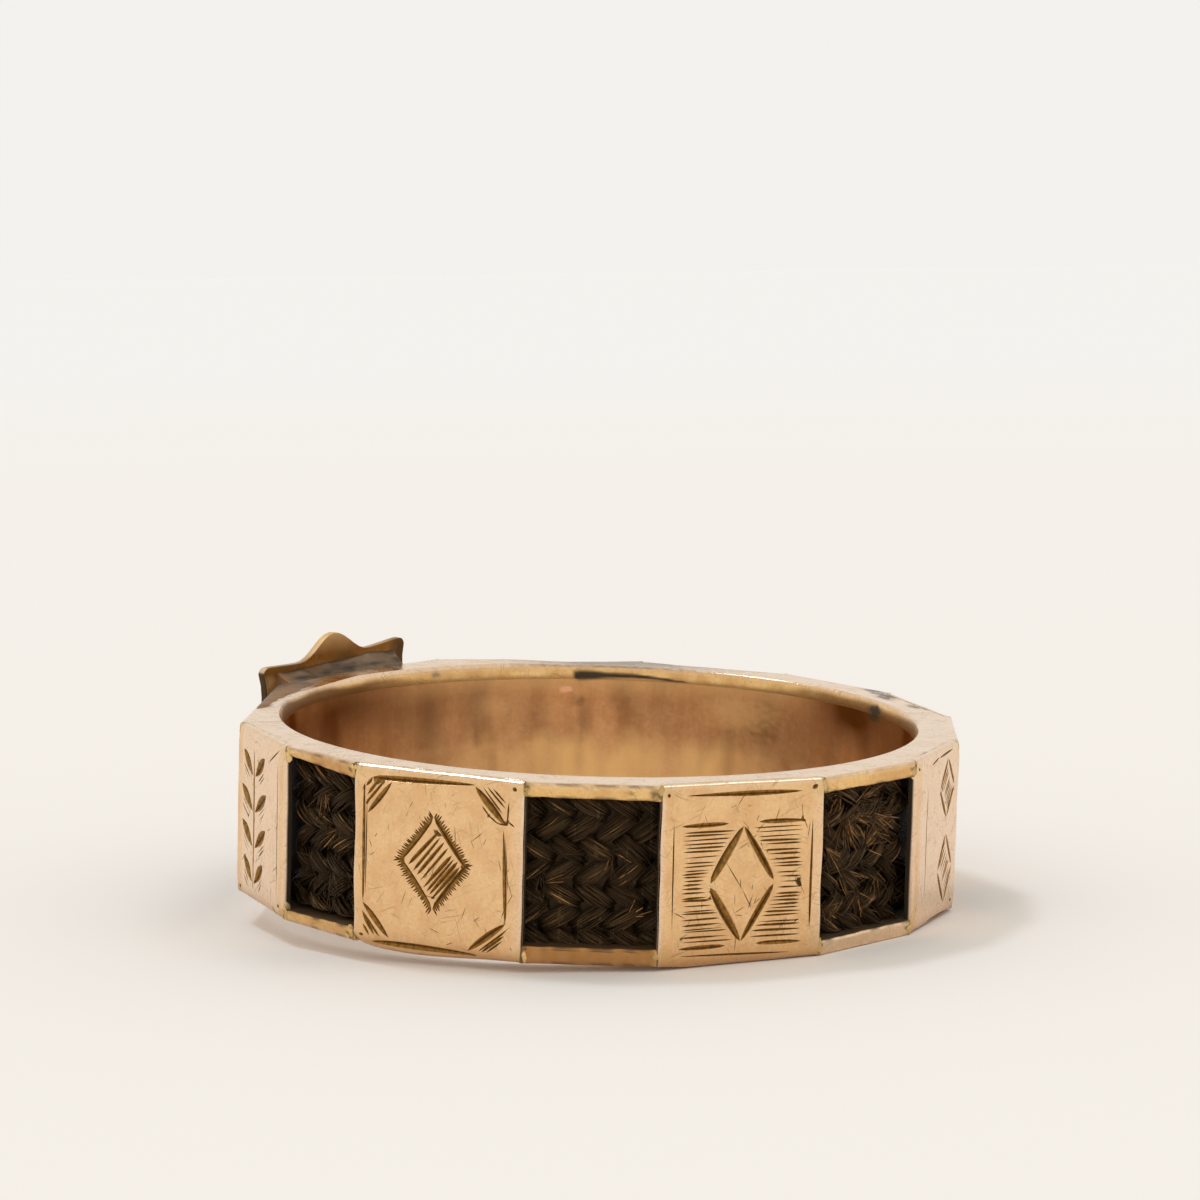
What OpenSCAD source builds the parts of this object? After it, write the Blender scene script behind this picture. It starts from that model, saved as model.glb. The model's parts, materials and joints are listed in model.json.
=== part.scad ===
// A hairwork ring: a channelled gold band with six flat panels across it, a woven braid of
// hair in the channel that shows between the panels, and a scalloped cover plate.
// Origin at the middle of the finger hole. Angles run round the band from the front, 0
// towards -Y, and grow to the right. The ring lies on its side as it rests by itself:
// on the lower lobe of the cover plate and on the lower rim opposite.

/* [Band] */
// Inside diameter of the finger hole
finger_d = 18.2; // [16:0.1:22]
// Height of the band between its two flat rims
band_h = 4.85; // [4:0.05:6]
// Thickness from the finger hole to the outer corners of the band
wall_t = 1.42; // [1.3:0.01:1.7]
// Thickness of the inner sleeve, which is the floor of the channel
sleeve_t = 0.38; // [0.3:0.01:0.45]
// Height of the rail below the channel
low_rail_h = 0.43; // [0.35:0.01:0.6]
// Height of the rail above the channel
top_rail_h = 0.38; // [0.3:0.01:0.6]
// Height of the worn bevel at each mouth of the finger hole
mouth_bevel_h = 0.42; // [0.1:0.01:0.6]
// Width of that bevel, measured outwards
mouth_bevel_w = 0.12; // [0.05:0.01:0.2]

/* [Panels] */
// Thickness of the flat panels soldered across the channel
panel_t = 0.25; // [0.15:0.01:0.3]
// How far the panels stand out from the rails
panel_proud = 0.06; // [0.02:0.01:0.1]
// Height of the soft bevel along the top and bottom of a panel
panel_margin_h = 0.5; // [0.2:0.05:0.8]
// How far that bevel falls back at the rim
panel_margin_fall = 0.07; // [0.02:0.01:0.12]

/* [Braid] */
// Room between the braid and the metal round it
braid_gap = 0.03; // [0.02:0.01:0.08]
// Thickness of the braid at the middle of its height
braid_t = 0.4; // [0.3:0.01:0.46]
// How much thinner the braid is along its two edges
braid_crown = 0.12; // [0.05:0.01:0.2]

/* [Cartouche] */
// Direction of the cartouche round the band, in degrees
cart_angle = -131.4; // [-134:0.1:-126]
// Half length of the cover plate at its corners
corner_u = 3.02; // [2.8:0.05:3.3]
// Height of the plate's corners above its middle
corner_z = 3.02; // [2.9:0.05:3.4]
// Half width of the lobe at the middle of the upper and lower edge
lobe_u = 1.42; // [1:0.02:1.8]
// Height of the top of that lobe above the plate's middle
lobe_z = 3.64; // [3.5:0.05:4]
// Height of the dips on both sides of the lobe
dip_z = 2.94; // [2.7:0.05:3.4]
// Radius of the plate's rounded corners
corner_round = 0.22; // [0.1:0.02:0.5]
// How far the end edges dip in next to the corners
end_dip = 0.1; // [0.02:0.01:0.2]
// How far the end edges swell out at their middle
end_swell = 0.15; // [0.05:0.01:0.3]
// Thickness of the cover plate
plate_t = 0.3; // [0.2:0.01:0.5]
// Distance from the finger hole's axis to the plate's back
plate_r = 10.6; // [10.5:0.05:11]
// How far the plate sits askew on its base, in degrees
plate_skew = 4; // [0:0.5:6]
// How far the plate sits off the middle of its bay, towards the end that hangs lower
plate_shift = 0.12; // [0:0.02:0.3]
// Reach of the base towards that end of the plate, and towards the other
base_low_u = 2.8; // [2.4:0.05:3]
base_high_u = 2.2; // [2:0.05:3]
// How far the base climbs the back of the plate past the rims
base_climb = 0.37; // [0.1:0.01:0.5]

/* [Hidden] */
$fn = 96;

// The six panels, in degrees round the band: [centre, arc]
PANELS = [
    [-65.0, 20.8],
    [-24.45, 27.6],
    [ 21.95, 25.9],
    [ 65.9, 20.2],
    [109.8, 23.4],
    [159.0, 27.0],
];
// Arc of the plain bay under the cartouche
bay_arc = 38;
bay_angle = cart_angle + 360;

bore_r = finger_d / 2;
corner_r = bore_r + wall_t;
sleeve_r = bore_r + sleeve_t;
rail_corner_r = corner_r - panel_proud;
half_h = band_h / 2;
channel_half_h = half_h - (low_rail_h + top_rail_h) / 2;
channel_mid = (low_rail_h - top_rail_h) / 2;
bay_r = rail_corner_r * cos(bay_arc / 2);
// Cuts run this far past the faces that they open
past = 0.3;

// The braid is a loop with a gap where its ends meet the tongue of the cartouche, given in
// degrees from the middle of the bay
braid_in_r = sleeve_r + braid_gap;
braid_half_h = channel_half_h - braid_gap;
braid_from = 17;
braid_to = 360 - 13.3;

base_w = base_low_u + base_high_u;
base_shift = (base_low_u - base_high_u) / 2;
tongue_w = base_w - 0.2;
tongue_half_h = channel_half_h - braid_gap;
base_foot_r = bay_r + 0.2;

// The window opposite the cartouche is where the band touches the ground
rest_left = PANELS[2][0] + PANELS[2][1] / 2;
rest_right = PANELS[3][0] - PANELS[3][1] / 2;
rest_angle = (rest_left + rest_right) / 2;
rest_r = corner_r * cos((rest_right - rest_left) / 2);
lobe_reach = -plate_r * cos(cart_angle - rest_angle);
rest_tilt = atan((lobe_z * cos(plate_skew) - half_h) / (lobe_reach + rest_r));

function round_band(angle, r) = r * [sin(angle), -cos(angle)];

// Angles at which one facet of the band ends and the next begins
function facet_ends() = concat(
    [for (p = PANELS) each [p[0] - p[1] / 2, p[0] + p[1] / 2]],
    [bay_angle - bay_arc / 2, bay_angle + bay_arc / 2]);

// Smooth step from 0 to 1
function ease(t) = (1 - cos(180 * t)) / 2;

// How far the rounding of a corner falls below the edge, this far from the plate's middle
function rounding(u) = let (into = max(0, abs(u) - (corner_u - corner_round)))
    corner_round - sqrt(max(0, corner_round * corner_round - into * into));

// Upper edge of the cover plate: a lobe in the middle, a dip, and a raised corner
function plate_top(u) = abs(u) < lobe_u
    ? lobe_z - (lobe_z - dip_z) * ease(abs(u) / lobe_u)
    : dip_z + (corner_z - dip_z) * ease((abs(u) - lobe_u) / (corner_u - lobe_u)) - rounding(u);

// End edge of the cover plate: a dip below the corner and a swell at the middle
end_z = corner_z - corner_round;
end_dip_z = 0.82 * end_z;
function plate_end(z) = abs(z) < end_dip_z
    ? corner_u + end_swell - (end_swell + end_dip) * ease(abs(z) / end_dip_z)
    : corner_u - end_dip * (1 - ease((abs(z) - end_dip_z) / (end_z - end_dip_z)));

// The steps along the upper and lower edge lie closer together at the rounded corners
edge_steps = 44;
end_steps = 16;
function edge_u(i) = corner_u * sin(90 - 180 * i / edge_steps);
function end_height(i) = end_z * (1 - 2 * i / end_steps);
plate_outline = concat(
    [for (i = [0:edge_steps]) [edge_u(i), plate_top(edge_u(i))]],
    [for (i = [1:end_steps - 1]) [-plate_end(end_height(i)), end_height(i)]],
    [for (i = [0:edge_steps]) [-edge_u(i), -plate_top(edge_u(i))]],
    [for (i = [1:end_steps - 1]) [plate_end(end_height(i)), -end_height(i)]]);

// Turns the upright ring into the way it lies
module as_it_lies() {
    rotate(a = rest_tilt, v = [cos(rest_angle), sin(rest_angle), 0]) children();
}

// A profile in (outwards, up) drawn out sideways across a facet, or shifted along it
module across_facet(angle, width, profile, shift = 0) {
    rotate([0, 0, angle]) translate([shift, 0, 0]) rotate([0, 0, -90]) rotate([90, 0, 0])
        linear_extrude(height = width, center = true) polygon(profile);
}

module rails_and_sleeve() {
    difference() {
        linear_extrude(height = band_h, center = true)
            polygon([for (a = facet_ends()) round_band(a, rail_corner_r)]);
        difference() {
            translate([0, 0, channel_mid])
                cylinder(r = corner_r + past, h = 2 * channel_half_h, center = true);
            cylinder(r = sleeve_r, h = band_h, center = true);
        }
    }
}

module panel(angle, arc) {
    face_r = corner_r * cos(arc / 2);
    rim_r = face_r - panel_margin_fall;
    margin_z = half_h - panel_margin_h;
    across_facet(angle, 2 * corner_r * sin(arc / 2), [
        [face_r - panel_t, -half_h], [rim_r, -half_h], [face_r, -margin_z],
        [face_r, margin_z], [rim_r, half_h], [face_r - panel_t, half_h]]);
}

module finger_hole() {
    cylinder(r = bore_r, h = band_h + 2 * past, center = true);
    for (side = [0, 1]) mirror([0, 0, side])
        translate([0, 0, half_h - mouth_bevel_h])
            cylinder(r1 = bore_r, r2 = bore_r + 2 * mouth_bevel_w, h = 2 * mouth_bevel_h);
}

module gold_band() {
    color("#d8a274") as_it_lies() difference() {
        union() {
            rails_and_sleeve();
            for (p = PANELS) panel(p[0], p[1]);
        }
        finger_hole();
    }
}

module hair_braid() {
    edge_r = braid_in_r + braid_t - braid_crown;
    crown_r = braid_in_r + braid_t;
    shoulder_r = crown_r - 0.3 * braid_crown;
    shoulder_z = braid_half_h / 2;
    color("#2f231a") as_it_lies()
        translate([0, 0, channel_mid]) rotate([0, 0, bay_angle - 90 + braid_from])
            rotate_extrude(angle = braid_to - braid_from)
                polygon([
                    [braid_in_r, -braid_half_h], [edge_r, -braid_half_h], [shoulder_r, -shoulder_z],
                    [crown_r, 0], [shoulder_r, shoulder_z], [edge_r, braid_half_h],
                    [braid_in_r, braid_half_h]]);
}

module cover_plate() {
    rotate([0, 0, cart_angle]) translate([plate_shift, -plate_r, 0]) rotate([0, plate_skew, 0])
        rotate([90, 0, 0]) linear_extrude(height = plate_t) polygon(plate_outline);
}

module plate_base() {
    foot_r = bay_r + braid_gap;
    base_top = half_h + base_climb;
    plate_mid_r = plate_r + plate_t / 2;
    across_facet(cart_angle, base_w, [
        [foot_r, -half_h + past], [base_foot_r, -half_h], [plate_r, -base_top], [plate_mid_r, -base_top],
        [plate_mid_r, base_top], [plate_r, base_top], [base_foot_r, half_h], [foot_r, half_h - past]],
        base_shift);
    across_facet(cart_angle, tongue_w, [
        [braid_in_r, channel_mid - tongue_half_h], [plate_r, channel_mid - tongue_half_h],
        [plate_r, channel_mid + tongue_half_h], [braid_in_r, channel_mid + tongue_half_h]], base_shift);
}

module cartouche() {
    color("#a9824f") as_it_lies() union() {
        cover_plate();
        plate_base();
    }
}

gold_band();
hair_braid();
cartouche();
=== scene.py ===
import json
import random
from math import cos, degrees, hypot, log, pi, radians, sin, sqrt, tan

import bmesh
import bpy
import numpy as np
from mathutils import Matrix, Vector, noise
from mathutils.geometry import delaunay_2d_cdt


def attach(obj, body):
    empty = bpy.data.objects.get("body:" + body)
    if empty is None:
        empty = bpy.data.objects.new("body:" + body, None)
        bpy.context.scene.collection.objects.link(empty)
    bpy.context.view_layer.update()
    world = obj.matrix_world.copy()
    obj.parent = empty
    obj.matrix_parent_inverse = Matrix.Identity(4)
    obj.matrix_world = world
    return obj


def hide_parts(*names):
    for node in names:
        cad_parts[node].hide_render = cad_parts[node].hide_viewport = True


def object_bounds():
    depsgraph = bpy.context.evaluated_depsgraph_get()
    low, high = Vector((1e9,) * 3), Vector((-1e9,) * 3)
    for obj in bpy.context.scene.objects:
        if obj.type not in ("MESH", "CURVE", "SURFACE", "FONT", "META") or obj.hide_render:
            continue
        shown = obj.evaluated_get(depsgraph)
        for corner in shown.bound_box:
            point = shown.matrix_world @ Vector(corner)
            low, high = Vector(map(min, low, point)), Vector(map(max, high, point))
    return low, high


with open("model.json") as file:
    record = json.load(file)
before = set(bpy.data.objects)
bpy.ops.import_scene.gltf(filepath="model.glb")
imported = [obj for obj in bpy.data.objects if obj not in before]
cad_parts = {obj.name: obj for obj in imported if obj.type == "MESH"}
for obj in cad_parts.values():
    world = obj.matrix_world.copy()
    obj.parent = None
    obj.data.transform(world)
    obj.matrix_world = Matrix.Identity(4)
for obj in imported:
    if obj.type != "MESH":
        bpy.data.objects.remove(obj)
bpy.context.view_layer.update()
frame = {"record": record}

# Finger sleeve
# The sleeve is a thin tube of reddish gold, bent from sheet, that the finger touches. It is the
# floor of the channel. Its inside is worn in streaks and patched with brown tarnish. It is also painted
# darker towards the left and right as painted shade, painted golden at the back as a painted
# reflection, and carries a painted glint of copper colour.
mm = 0.001
finger_hole = frame["record"]["mounts"][0]
bore_r = finger_hole["dims"]["r_mm"]
sleeve_half_h = finger_hole["dims"]["length_mm"] / 2
sleeve_outer_r = bore_r + 0.38
lean = Vector((0, 0, 1)).rotation_difference(Vector(finger_hole["axis"])).to_matrix()


def as_it_lies(points):
    """Points of the upright ring in millimetres, turned to how the ring lies and put in metres."""
    return (np.asarray(points, float) @ np.array(lean).T) * mm


def round_band(angle, r, z):
    """A point at this angle round the band in degrees, 0 towards the front and growing to the right."""
    a = np.radians(angle)
    return np.stack([r * np.sin(a), -r * np.cos(a), z + 0 * a], -1)


def turn_from(angle, other):
    """How far an angle is from another round the band, from -180 to 180 degrees."""
    return (angle - other + 180) % 360 - 180


def noise_at(x, y, z):
    """Smooth noise at a place, or at many places at once."""
    places = np.broadcast(x, y, z)
    return np.array([noise.noise(Vector(place)) for place in places]).reshape(places.shape)


def unit(values):
    """Values held between 0 and 1."""
    return np.clip(values, 0, 1)


def make_piece(name, points, faces, material, slot, *stands_for, sharp=30, **fields):
    """A mesh piece from points of the upright ring. Each field is a value or vector per point."""
    mesh = bpy.data.meshes.new(name)
    mesh.from_pydata(as_it_lies(points).tolist(), [], [list(map(int, f)) for f in faces])
    for field, values in fields.items():
        values = np.asarray(values, np.float32)
        kind, member = ("FLOAT_VECTOR", "vector") if values.ndim == 2 else ("FLOAT", "value")
        mesh.attributes.new(field, kind, "POINT").data.foreach_set(member, values.ravel())
    mesh.shade_smooth()
    mesh.set_sharp_from_angle(angle=radians(sharp))
    mesh.materials.append(material)
    piece = bpy.data.objects.new(name, mesh)
    bpy.context.scene.collection.objects.link(piece)
    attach(piece, "root")
    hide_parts(*stands_for)
    return piece


def tube_faces(rows, columns, first=0, closed=False, capped=False):
    """Quads between rows of points that each go round a ring. closed joins the last row to the
    first, and capped closes both ends."""
    faces = []
    for i in range(rows if closed else rows - 1):
        here, there = first + i * columns, first + (i + 1) % rows * columns
        for j in range(columns):
            k = (j + 1) % columns
            faces.append((here + j, here + k, there + k, there + j))
    if capped:
        last = first + (rows - 1) * columns
        faces += [range(first, first + columns)[::-1], range(last, last + columns)]
    return faces


def turned(section_at, angles, closed=True):
    """A body swept round the band. section_at gives the closed section (outwards, up) at an angle.
    Returns points, faces, the field flat, which is the skin unrolled in mm, and the angle in
    degrees, the height and the radius of each point."""
    sections = [np.asarray(section_at(a), float) for a in angles]
    count = len(sections[0])
    around = np.repeat(np.asarray(angles, float), count)
    out, up = np.concatenate(sections).T
    run = np.concatenate([np.append(0, np.hypot(*np.diff(s, axis=0).T)).cumsum() for s in sections])
    flat = np.stack([np.radians(around) * bore_r, run, 0 * out], -1)
    faces = tube_faces(len(angles), count, closed=closed, capped=not closed)
    return round_band(around, out, up), faces, flat, (around, up, out)


def fill(node, inputs):
    """Sets a node's inputs, each given as a value or as a socket to link."""
    for name, value in inputs.items():
        if isinstance(value, bpy.types.NodeSocket):
            node.id_data.links.new(value, node.inputs[name])
        else:
            node.inputs[name].default_value = value


def add_node(tree, kind, inputs, **settings):
    """A shader node with its settings and its inputs."""
    made = tree.nodes.new("ShaderNode" + kind)
    for name, value in settings.items():
        setattr(made, name, value)
    fill(made, inputs)
    return made


def new_material(name):
    """An empty node material and its tree, with a Principled shader linked to the output."""
    material = bpy.data.materials.new(name)
    material.use_nodes = True
    tree = material.node_tree
    tree.nodes.clear()
    shader = tree.nodes.new("ShaderNodeBsdfPrincipled")
    add_node(tree, "OutputMaterial", {"Surface": shader.outputs["BSDF"]})
    return material, tree, shader


def new_group(name, inputs, outputs):
    """An empty shader node group with named inputs (kind, value) and outputs (kind)."""
    group = bpy.data.node_groups.new(name, "ShaderNodeTree")
    for label, (kind, value) in inputs.items():
        socket = group.interface.new_socket(label, in_out="INPUT", socket_type="NodeSocket" + kind)
        if value is not None:
            socket.default_value = value
    for label, kind in outputs.items():
        group.interface.new_socket(label, in_out="OUTPUT", socket_type="NodeSocket" + kind)
    return group, group.nodes.new("NodeGroupInput").outputs, group.nodes.new("NodeGroupOutput")


def field(tree, name, member="Fac"):
    """A value or vector that the mesh holds for each point."""
    return add_node(tree, "Attribute", {}, attribute_name=name).outputs[member]


def blended(amount, first, second):
    """Two colours mixed by an amount."""
    return add_node(amount.id_data, "Mix", {0: amount, 6: first, 7: second}, data_type="RGBA").outputs[2]


def stepped(value, low, high, to_low=0.0, to_high=1.0):
    """A value mapped smoothly from the range low to high to the range to_low to to_high."""
    return add_node(value.id_data, "MapRange", {
        "Value": value, "From Min": low, "From Max": high, "To Min": to_low, "To Max": to_high,
    }, interpolation_type="SMOOTHSTEP").outputs["Result"]


def times(first, second, operation="MULTIPLY"):
    """Two values multiplied, or joined by another math operation."""
    return add_node(first.id_data, "Math", {0: first, 1: second}, operation=operation).outputs[0]


def scaled(vector, scale):
    return add_node(vector.id_data, "VectorMath", {0: vector, 3: scale}, operation="SCALE").outputs[0]


def stretched_noise(place, scale, detail=3.0, rough=0.6, turn=0.0):
    """Noise over the field flat, with its own scale round the band and up, turned by an angle."""
    tree = place.id_data
    turned_place = add_node(tree, "Mapping", {"Vector": place, "Rotation": (0, 0, turn)})
    stretched = add_node(tree, "Mapping", {
        "Vector": turned_place.outputs["Vector"], "Scale": (*scale, 0.37)})
    return add_node(tree, "TexNoise", {
        "Vector": stretched.outputs["Vector"], "Scale": 1.0, "Detail": detail,
        "Roughness": rough}).outputs["Fac"]


# Tarnish in soft patches and upright streaks, used by every metal of the ring
tarnish, given, result = new_group("patchy tarnish", {
    "Place": ("Vector", None), "Patch Size": ("Float", 1.0), "Amount": ("Float", 0.5),
    "Streaks": ("Float", 0.2), "Clean": ("Color", (0.8, 0.5, 0.3, 1)),
    "Tarnished": ("Color", (0.3, 0.15, 0.06, 1)),
}, {"Colour": "Color", "Mask": "Float"})
patch_place = scaled(given["Place"], given["Patch Size"])
patches = stretched_noise(patch_place, (1.0, 0.8), 4.0, 0.62)
streaks = stretched_noise(patch_place, (3.1, 0.42), 3.0, 0.55)
spots = stretched_noise(patch_place, (7.0, 7.0), 2.0, 0.7)
mixed = stepped(given["Streaks"], 0.0, 1.0, patches, streaks)
mixed = times(times(mixed, 0.85), times(spots, 0.15), "ADD")
tarnish_mask = times(stepped(mixed, 0.40, 0.62), given["Amount"])
fill(result, {"Mask": tarnish_mask, "Colour": blended(tarnish_mask, given["Clean"], given["Tarnished"])})


def hairlines(place, level, directions):
    """Thin strokes where a stretched noise rises over a level, in several directions."""
    lines = None
    for turn, along, across in directions:
        line = stepped(stretched_noise(place, (along, across), 0.0, 0.5, turn), level, level + 0.07)
        lines = line if lines is None else times(lines, line, "MAXIMUM")
    return lines


# Fine dark scratches, pale hairlines and small pits, as years of wear leave them
wear, given, result = new_group("wear marks", {"Place": ("Vector", None), "Density": ("Float", 0.5)}, {
    "Height": "Float", "Dark": "Float", "Pale": "Float", "Grain": "Float"})
bend = add_node(wear, "TexNoise", {"Vector": given["Place"], "Scale": 0.9, "Detail": 1.0})
place = add_node(wear, "VectorMath", {
    0: given["Place"], 1: scaled(bend.outputs["Color"], 0.28)}).outputs[0]
broken = stepped(stretched_noise(place, (1.9, 1.7), 2.0), 0.42, 0.6)
dark_lines = times(hairlines(place, 0.71, (
    (0.35, 1.0, 22.0), (1.25, 0.8, 19.0), (2.05, 1.2, 25.0), (2.75, 0.7, 18.0))), broken)
thinned = stepped(stretched_noise(place, (2.3, 2.6), 2.0), 0.46, 0.6)
pale_lines = times(hairlines(place, 0.69, ((0.8, 1.6, 20.0), (2.4, 1.9, 24.0), (1.6, 1.4, 22.0))), thinned)
pits = times(stepped(stretched_noise(place, (12.0, 12.0), 1.0, 0.5), 0.72, 0.76), broken)
grain = stretched_noise(place, (9.0, 9.0), 4.0, 0.7)
dark_marks = times(times(dark_lines, pits, "MAXIMUM"), given["Density"])
waves = stretched_noise(place, (1.3, 1.1), 2.0, 0.5)
height = times(times(grain, 0.07), waves, "ADD")
height = times(height, times(pale_lines, 0.12), "SUBTRACT")
height = times(height, times(dark_marks, 0.25), "SUBTRACT")
fill(result, {
    "Height": height, "Dark": dark_marks, "Pale": times(pale_lines, given["Density"]), "Grain": grain})


def dimmed(colour, share):
    return tuple(c * share for c in colour[:3]) + (1,)


def worn_gold(name, clean, tarnished, patch_size, amount, roughness, streaks=0.0, scratched=0.5, stains=(),
              dirt=None):
    """Gold with patchy tarnish and wear marks. Stains are mesh fields (name, colour, how much is left of the
    metal's shine), such as solder, soot marks and painted shade. The rubbed field makes the gold paler, for
    wear and as painted sheen. dirt holds the two colours of what has settled in the engraver's cuts: dark in
    thin cuts and along the deepest line, olive on broad ones."""
    material, tree, shader = new_material(name)
    place = field(tree, "flat", "Vector")
    patchy = add_node(tree, "Group", {
        "Place": place, "Patch Size": patch_size, "Amount": amount, "Streaks": streaks,
        "Clean": clean, "Tarnished": tarnished}, node_tree=tarnish).outputs
    marks = add_node(tree, "Group", {"Place": place, "Density": scratched}, node_tree=wear).outputs
    rubbed = stepped(field(tree, "rubbed"), 0.0, 1.0)
    colour = blended(times(rubbed, 0.85), patchy["Colour"], (0.90, 0.68, 0.50, 1))
    colour = blended(stepped(marks["Grain"], 0.38, 0.68, 0.0, 0.22), colour, dimmed(clean, 0.6))
    colour = blended(times(marks["Pale"], 0.35), colour, (0.98, 0.80, 0.60, 1))
    colour = blended(times(marks["Dark"], 0.55), colour, dimmed(clean, 0.3))
    rough = times(times(patchy["Mask"], 0.15), roughness, "ADD")
    rough = times(rough, times(rubbed, 0.1), "SUBTRACT")
    metallic = stepped(patchy["Mask"], 0.0, 1.0, 1.0, 0.85)
    for stain, stain_colour, shine in stains:
        stained = field(tree, stain)
        colour = blended(stained, colour, stain_colour)
        rough = times(rough, times(stained, 0.2), "ADD")
        metallic = times(metallic, stepped(stained, 0.0, 1.0, 1.0, shine))
    if dirt:
        dark, olive = dirt
        cut = field(tree, "cut")
        streak = stepped(stretched_noise(place, (8.0, 5.0), 2.0), 0.4, 0.65)
        settled = blended(streak, olive, dimmed(olive, 0.55))
        settled = blended(stepped(cut, 0.55, 1.0, 0.0, 0.85), settled, dark)
        settled = blended(field(tree, "broad"), dark, settled)
        in_cut = stepped(cut, 0.02, 0.22)
        colour = blended(in_cut, colour, settled)
        rough = times(rough, times(in_cut, 0.2), "ADD")
        metallic = times(metallic, stepped(in_cut, 0.0, 1.0, 1.0, 0.5))
    bump = add_node(tree, "Bump", {"Height": marks["Height"], "Strength": 0.5, "Distance": 0.02 * mm})
    fill(shader, {"Base Color": colour, "Roughness": rough, "Metallic": metallic,
                  "Normal": bump.outputs["Normal"]})
    return material


def blots(angle, across, marks):
    """How much soft-edged marks cover each point, from 0 to 1. Each mark is its angle round the
    band, its height or radius, its half sizes in degrees and mm, and its strength: a strength
    over 1 gives it a firm edge."""
    cover = np.zeros(len(angle))
    for at, height, wide, tall, strength in marks:
        ragged = 0.35 * noise_at(angle * 0.9, across * 7.0, at)
        left = 1 + ragged - np.hypot(turn_from(angle, at) / wide, (across - height) / tall)
        cover = np.maximum(cover, unit(strength * left))
    return cover


sleeve_gold = worn_gold(
    "tarnished sleeve gold", clean=(0.82, 0.48, 0.225, 1), tarnished=(0.52, 0.235, 0.09, 1),
    patch_size=0.5, amount=0.8, streaks=0.4, roughness=0.3, scratched=0.25, stains=(
        ("brown", (0.125, 0.036, 0.004, 1), 0.85), ("golden", (0.98, 0.65, 0.28, 1), 1.0),
        ("soot", (0.05, 0.028, 0.012, 1), 0.4), ("copper", (1.0, 0.58, 0.34, 1), 1.0)))
fill(sleeve_gold.node_tree.nodes["Principled BSDF"], {"Specular Tint": (0.95, 0.6, 0.3, 1)})


def sleeve_section(angle):
    """The tube's wall, with soft edges at both mouths."""
    half, inner, outer, soft = sleeve_half_h, bore_r, sleeve_outer_r, 0.006
    heights = np.concatenate([np.linspace(-half + soft, 0.9, 24), np.linspace(0.95, half - soft, 26)])
    wall = [(inner + soft, -half)] + [(inner, z) for z in heights] + [(inner + soft, half)]
    return wall + [(outer, half), (outer, -half)]


points, faces, flat, (around, up, out) = turned(sleeve_section, np.arange(0, 360, 0.8))
aside = np.abs(np.sin(np.radians(around)))
cloud = noise_at(around * 0.045, up * 0.5, 5.0)
upright = noise_at(around * 0.16, up * 0.35, 8.0)
streak = noise_at(around * 0.33, up * 0.25, 2.0)
# Brown: painted shade, darker towards the left and right sides and towards the top, over tarnish in upright
# streaks and patches.
brown = np.clip(2.0 * (aside - 0.53) + 0.7 * cloud, 0, 0.92) * np.interp(up, (-1.2, 0.6, 1.6), (0.5, 0.66, 1))
brown += 0.6 * unit(upright + 0.1 - 0.25 * (up < 0))
brown = unit(np.maximum(brown, blots(around, up, (
    (219, 1.3, 12, 0.8, 0.3), (240, 1.8, 16, 0.6, 0.6), (145, 0.8, 8, 1.1, 0.7), (167, 0.7, 4, 1.3, 0.3),
    (194, 0.9, 4, 1.0, 0.25)))))
# Golden: a painted reflection of light on the back of the inner wall, low down and near the top.
golden = unit((0.35 - up + 0.8 * upright + 0.3 * cloud) / 0.7) * unit(0.85 + 0.9 * streak) * np.interp(
    around, (140, 148, 154, 157, 162, 165, 169, 172, 190, 195, 206, 216),
    (0, 0.45, 0.6, 1, 1, 0.4, 0.75, 1, 1, 0.55, 0.5, 0))
near_top = unit((up - 1.4) / 0.55 + 0.4 * cloud) * np.interp(around, (132, 142, 212, 226), (0, 1, 1, 0))
golden = np.maximum(golden, 0.42 * near_top)
golden = np.maximum(golden, 0.4 * blots(around, up, ((151, 1.3, 11, 0.8, 1.6), (201, 1.2, 6, 0.5, 0.8))))
soot = blots(around, up, (
    (183.6, 1.30, 1.6, 0.2, 0.8), (204.5, 0.25, 0.55, 0.6, 0.6), (198, 1.0, 0.6, 0.5, 0.35),
    (174, 0.6, 0.35, 0.6, 0.5), (171.5, 0.8, 0.35, 0.4, 0.45), (182.8, 0.7, 1.6, 0.6, 0.35),
    (192.5, 0.9, 0.7, 0.5, 0.3), (114.3, 1.97, 3.0, 0.2, 2.0), (18, -0.6, 2.0, 0.12, 0.5),
    (330, 0.9, 1.4, 0.2, 0.5)))


def slit(around, up):
    """The open seam between the sleeve and the upper rail at the back, painted dark as painted shade: a wedge
    with a long tail.
    """
    half = np.interp(around, (160, 166, 172, 178, 181, 184.4, 185.4), (0, 0.05, 0.08, 0.11, 0.18, 0.22, 0))
    middle = np.interp(around, (160, 168, 173, 178, 184), (2.02, 2.10, 2.15, 2.14, 2.12))
    return unit(1.8 * (1 - np.abs(up - middle) / np.maximum(half, 1e-6)))


# The copper-coloured spot at the back is a painted glint.
make_piece("finger_sleeve", points, faces, sleeve_gold, "rose_gold", "gold_band", flat=flat, brown=brown,
           golden=0.95 * golden, soot=0.9 * np.maximum(soot, slit(around, up)),
           copper=blots(around, up, ((186.3, 1.68, 1.3, 0.13, 3.0),)))

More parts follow.
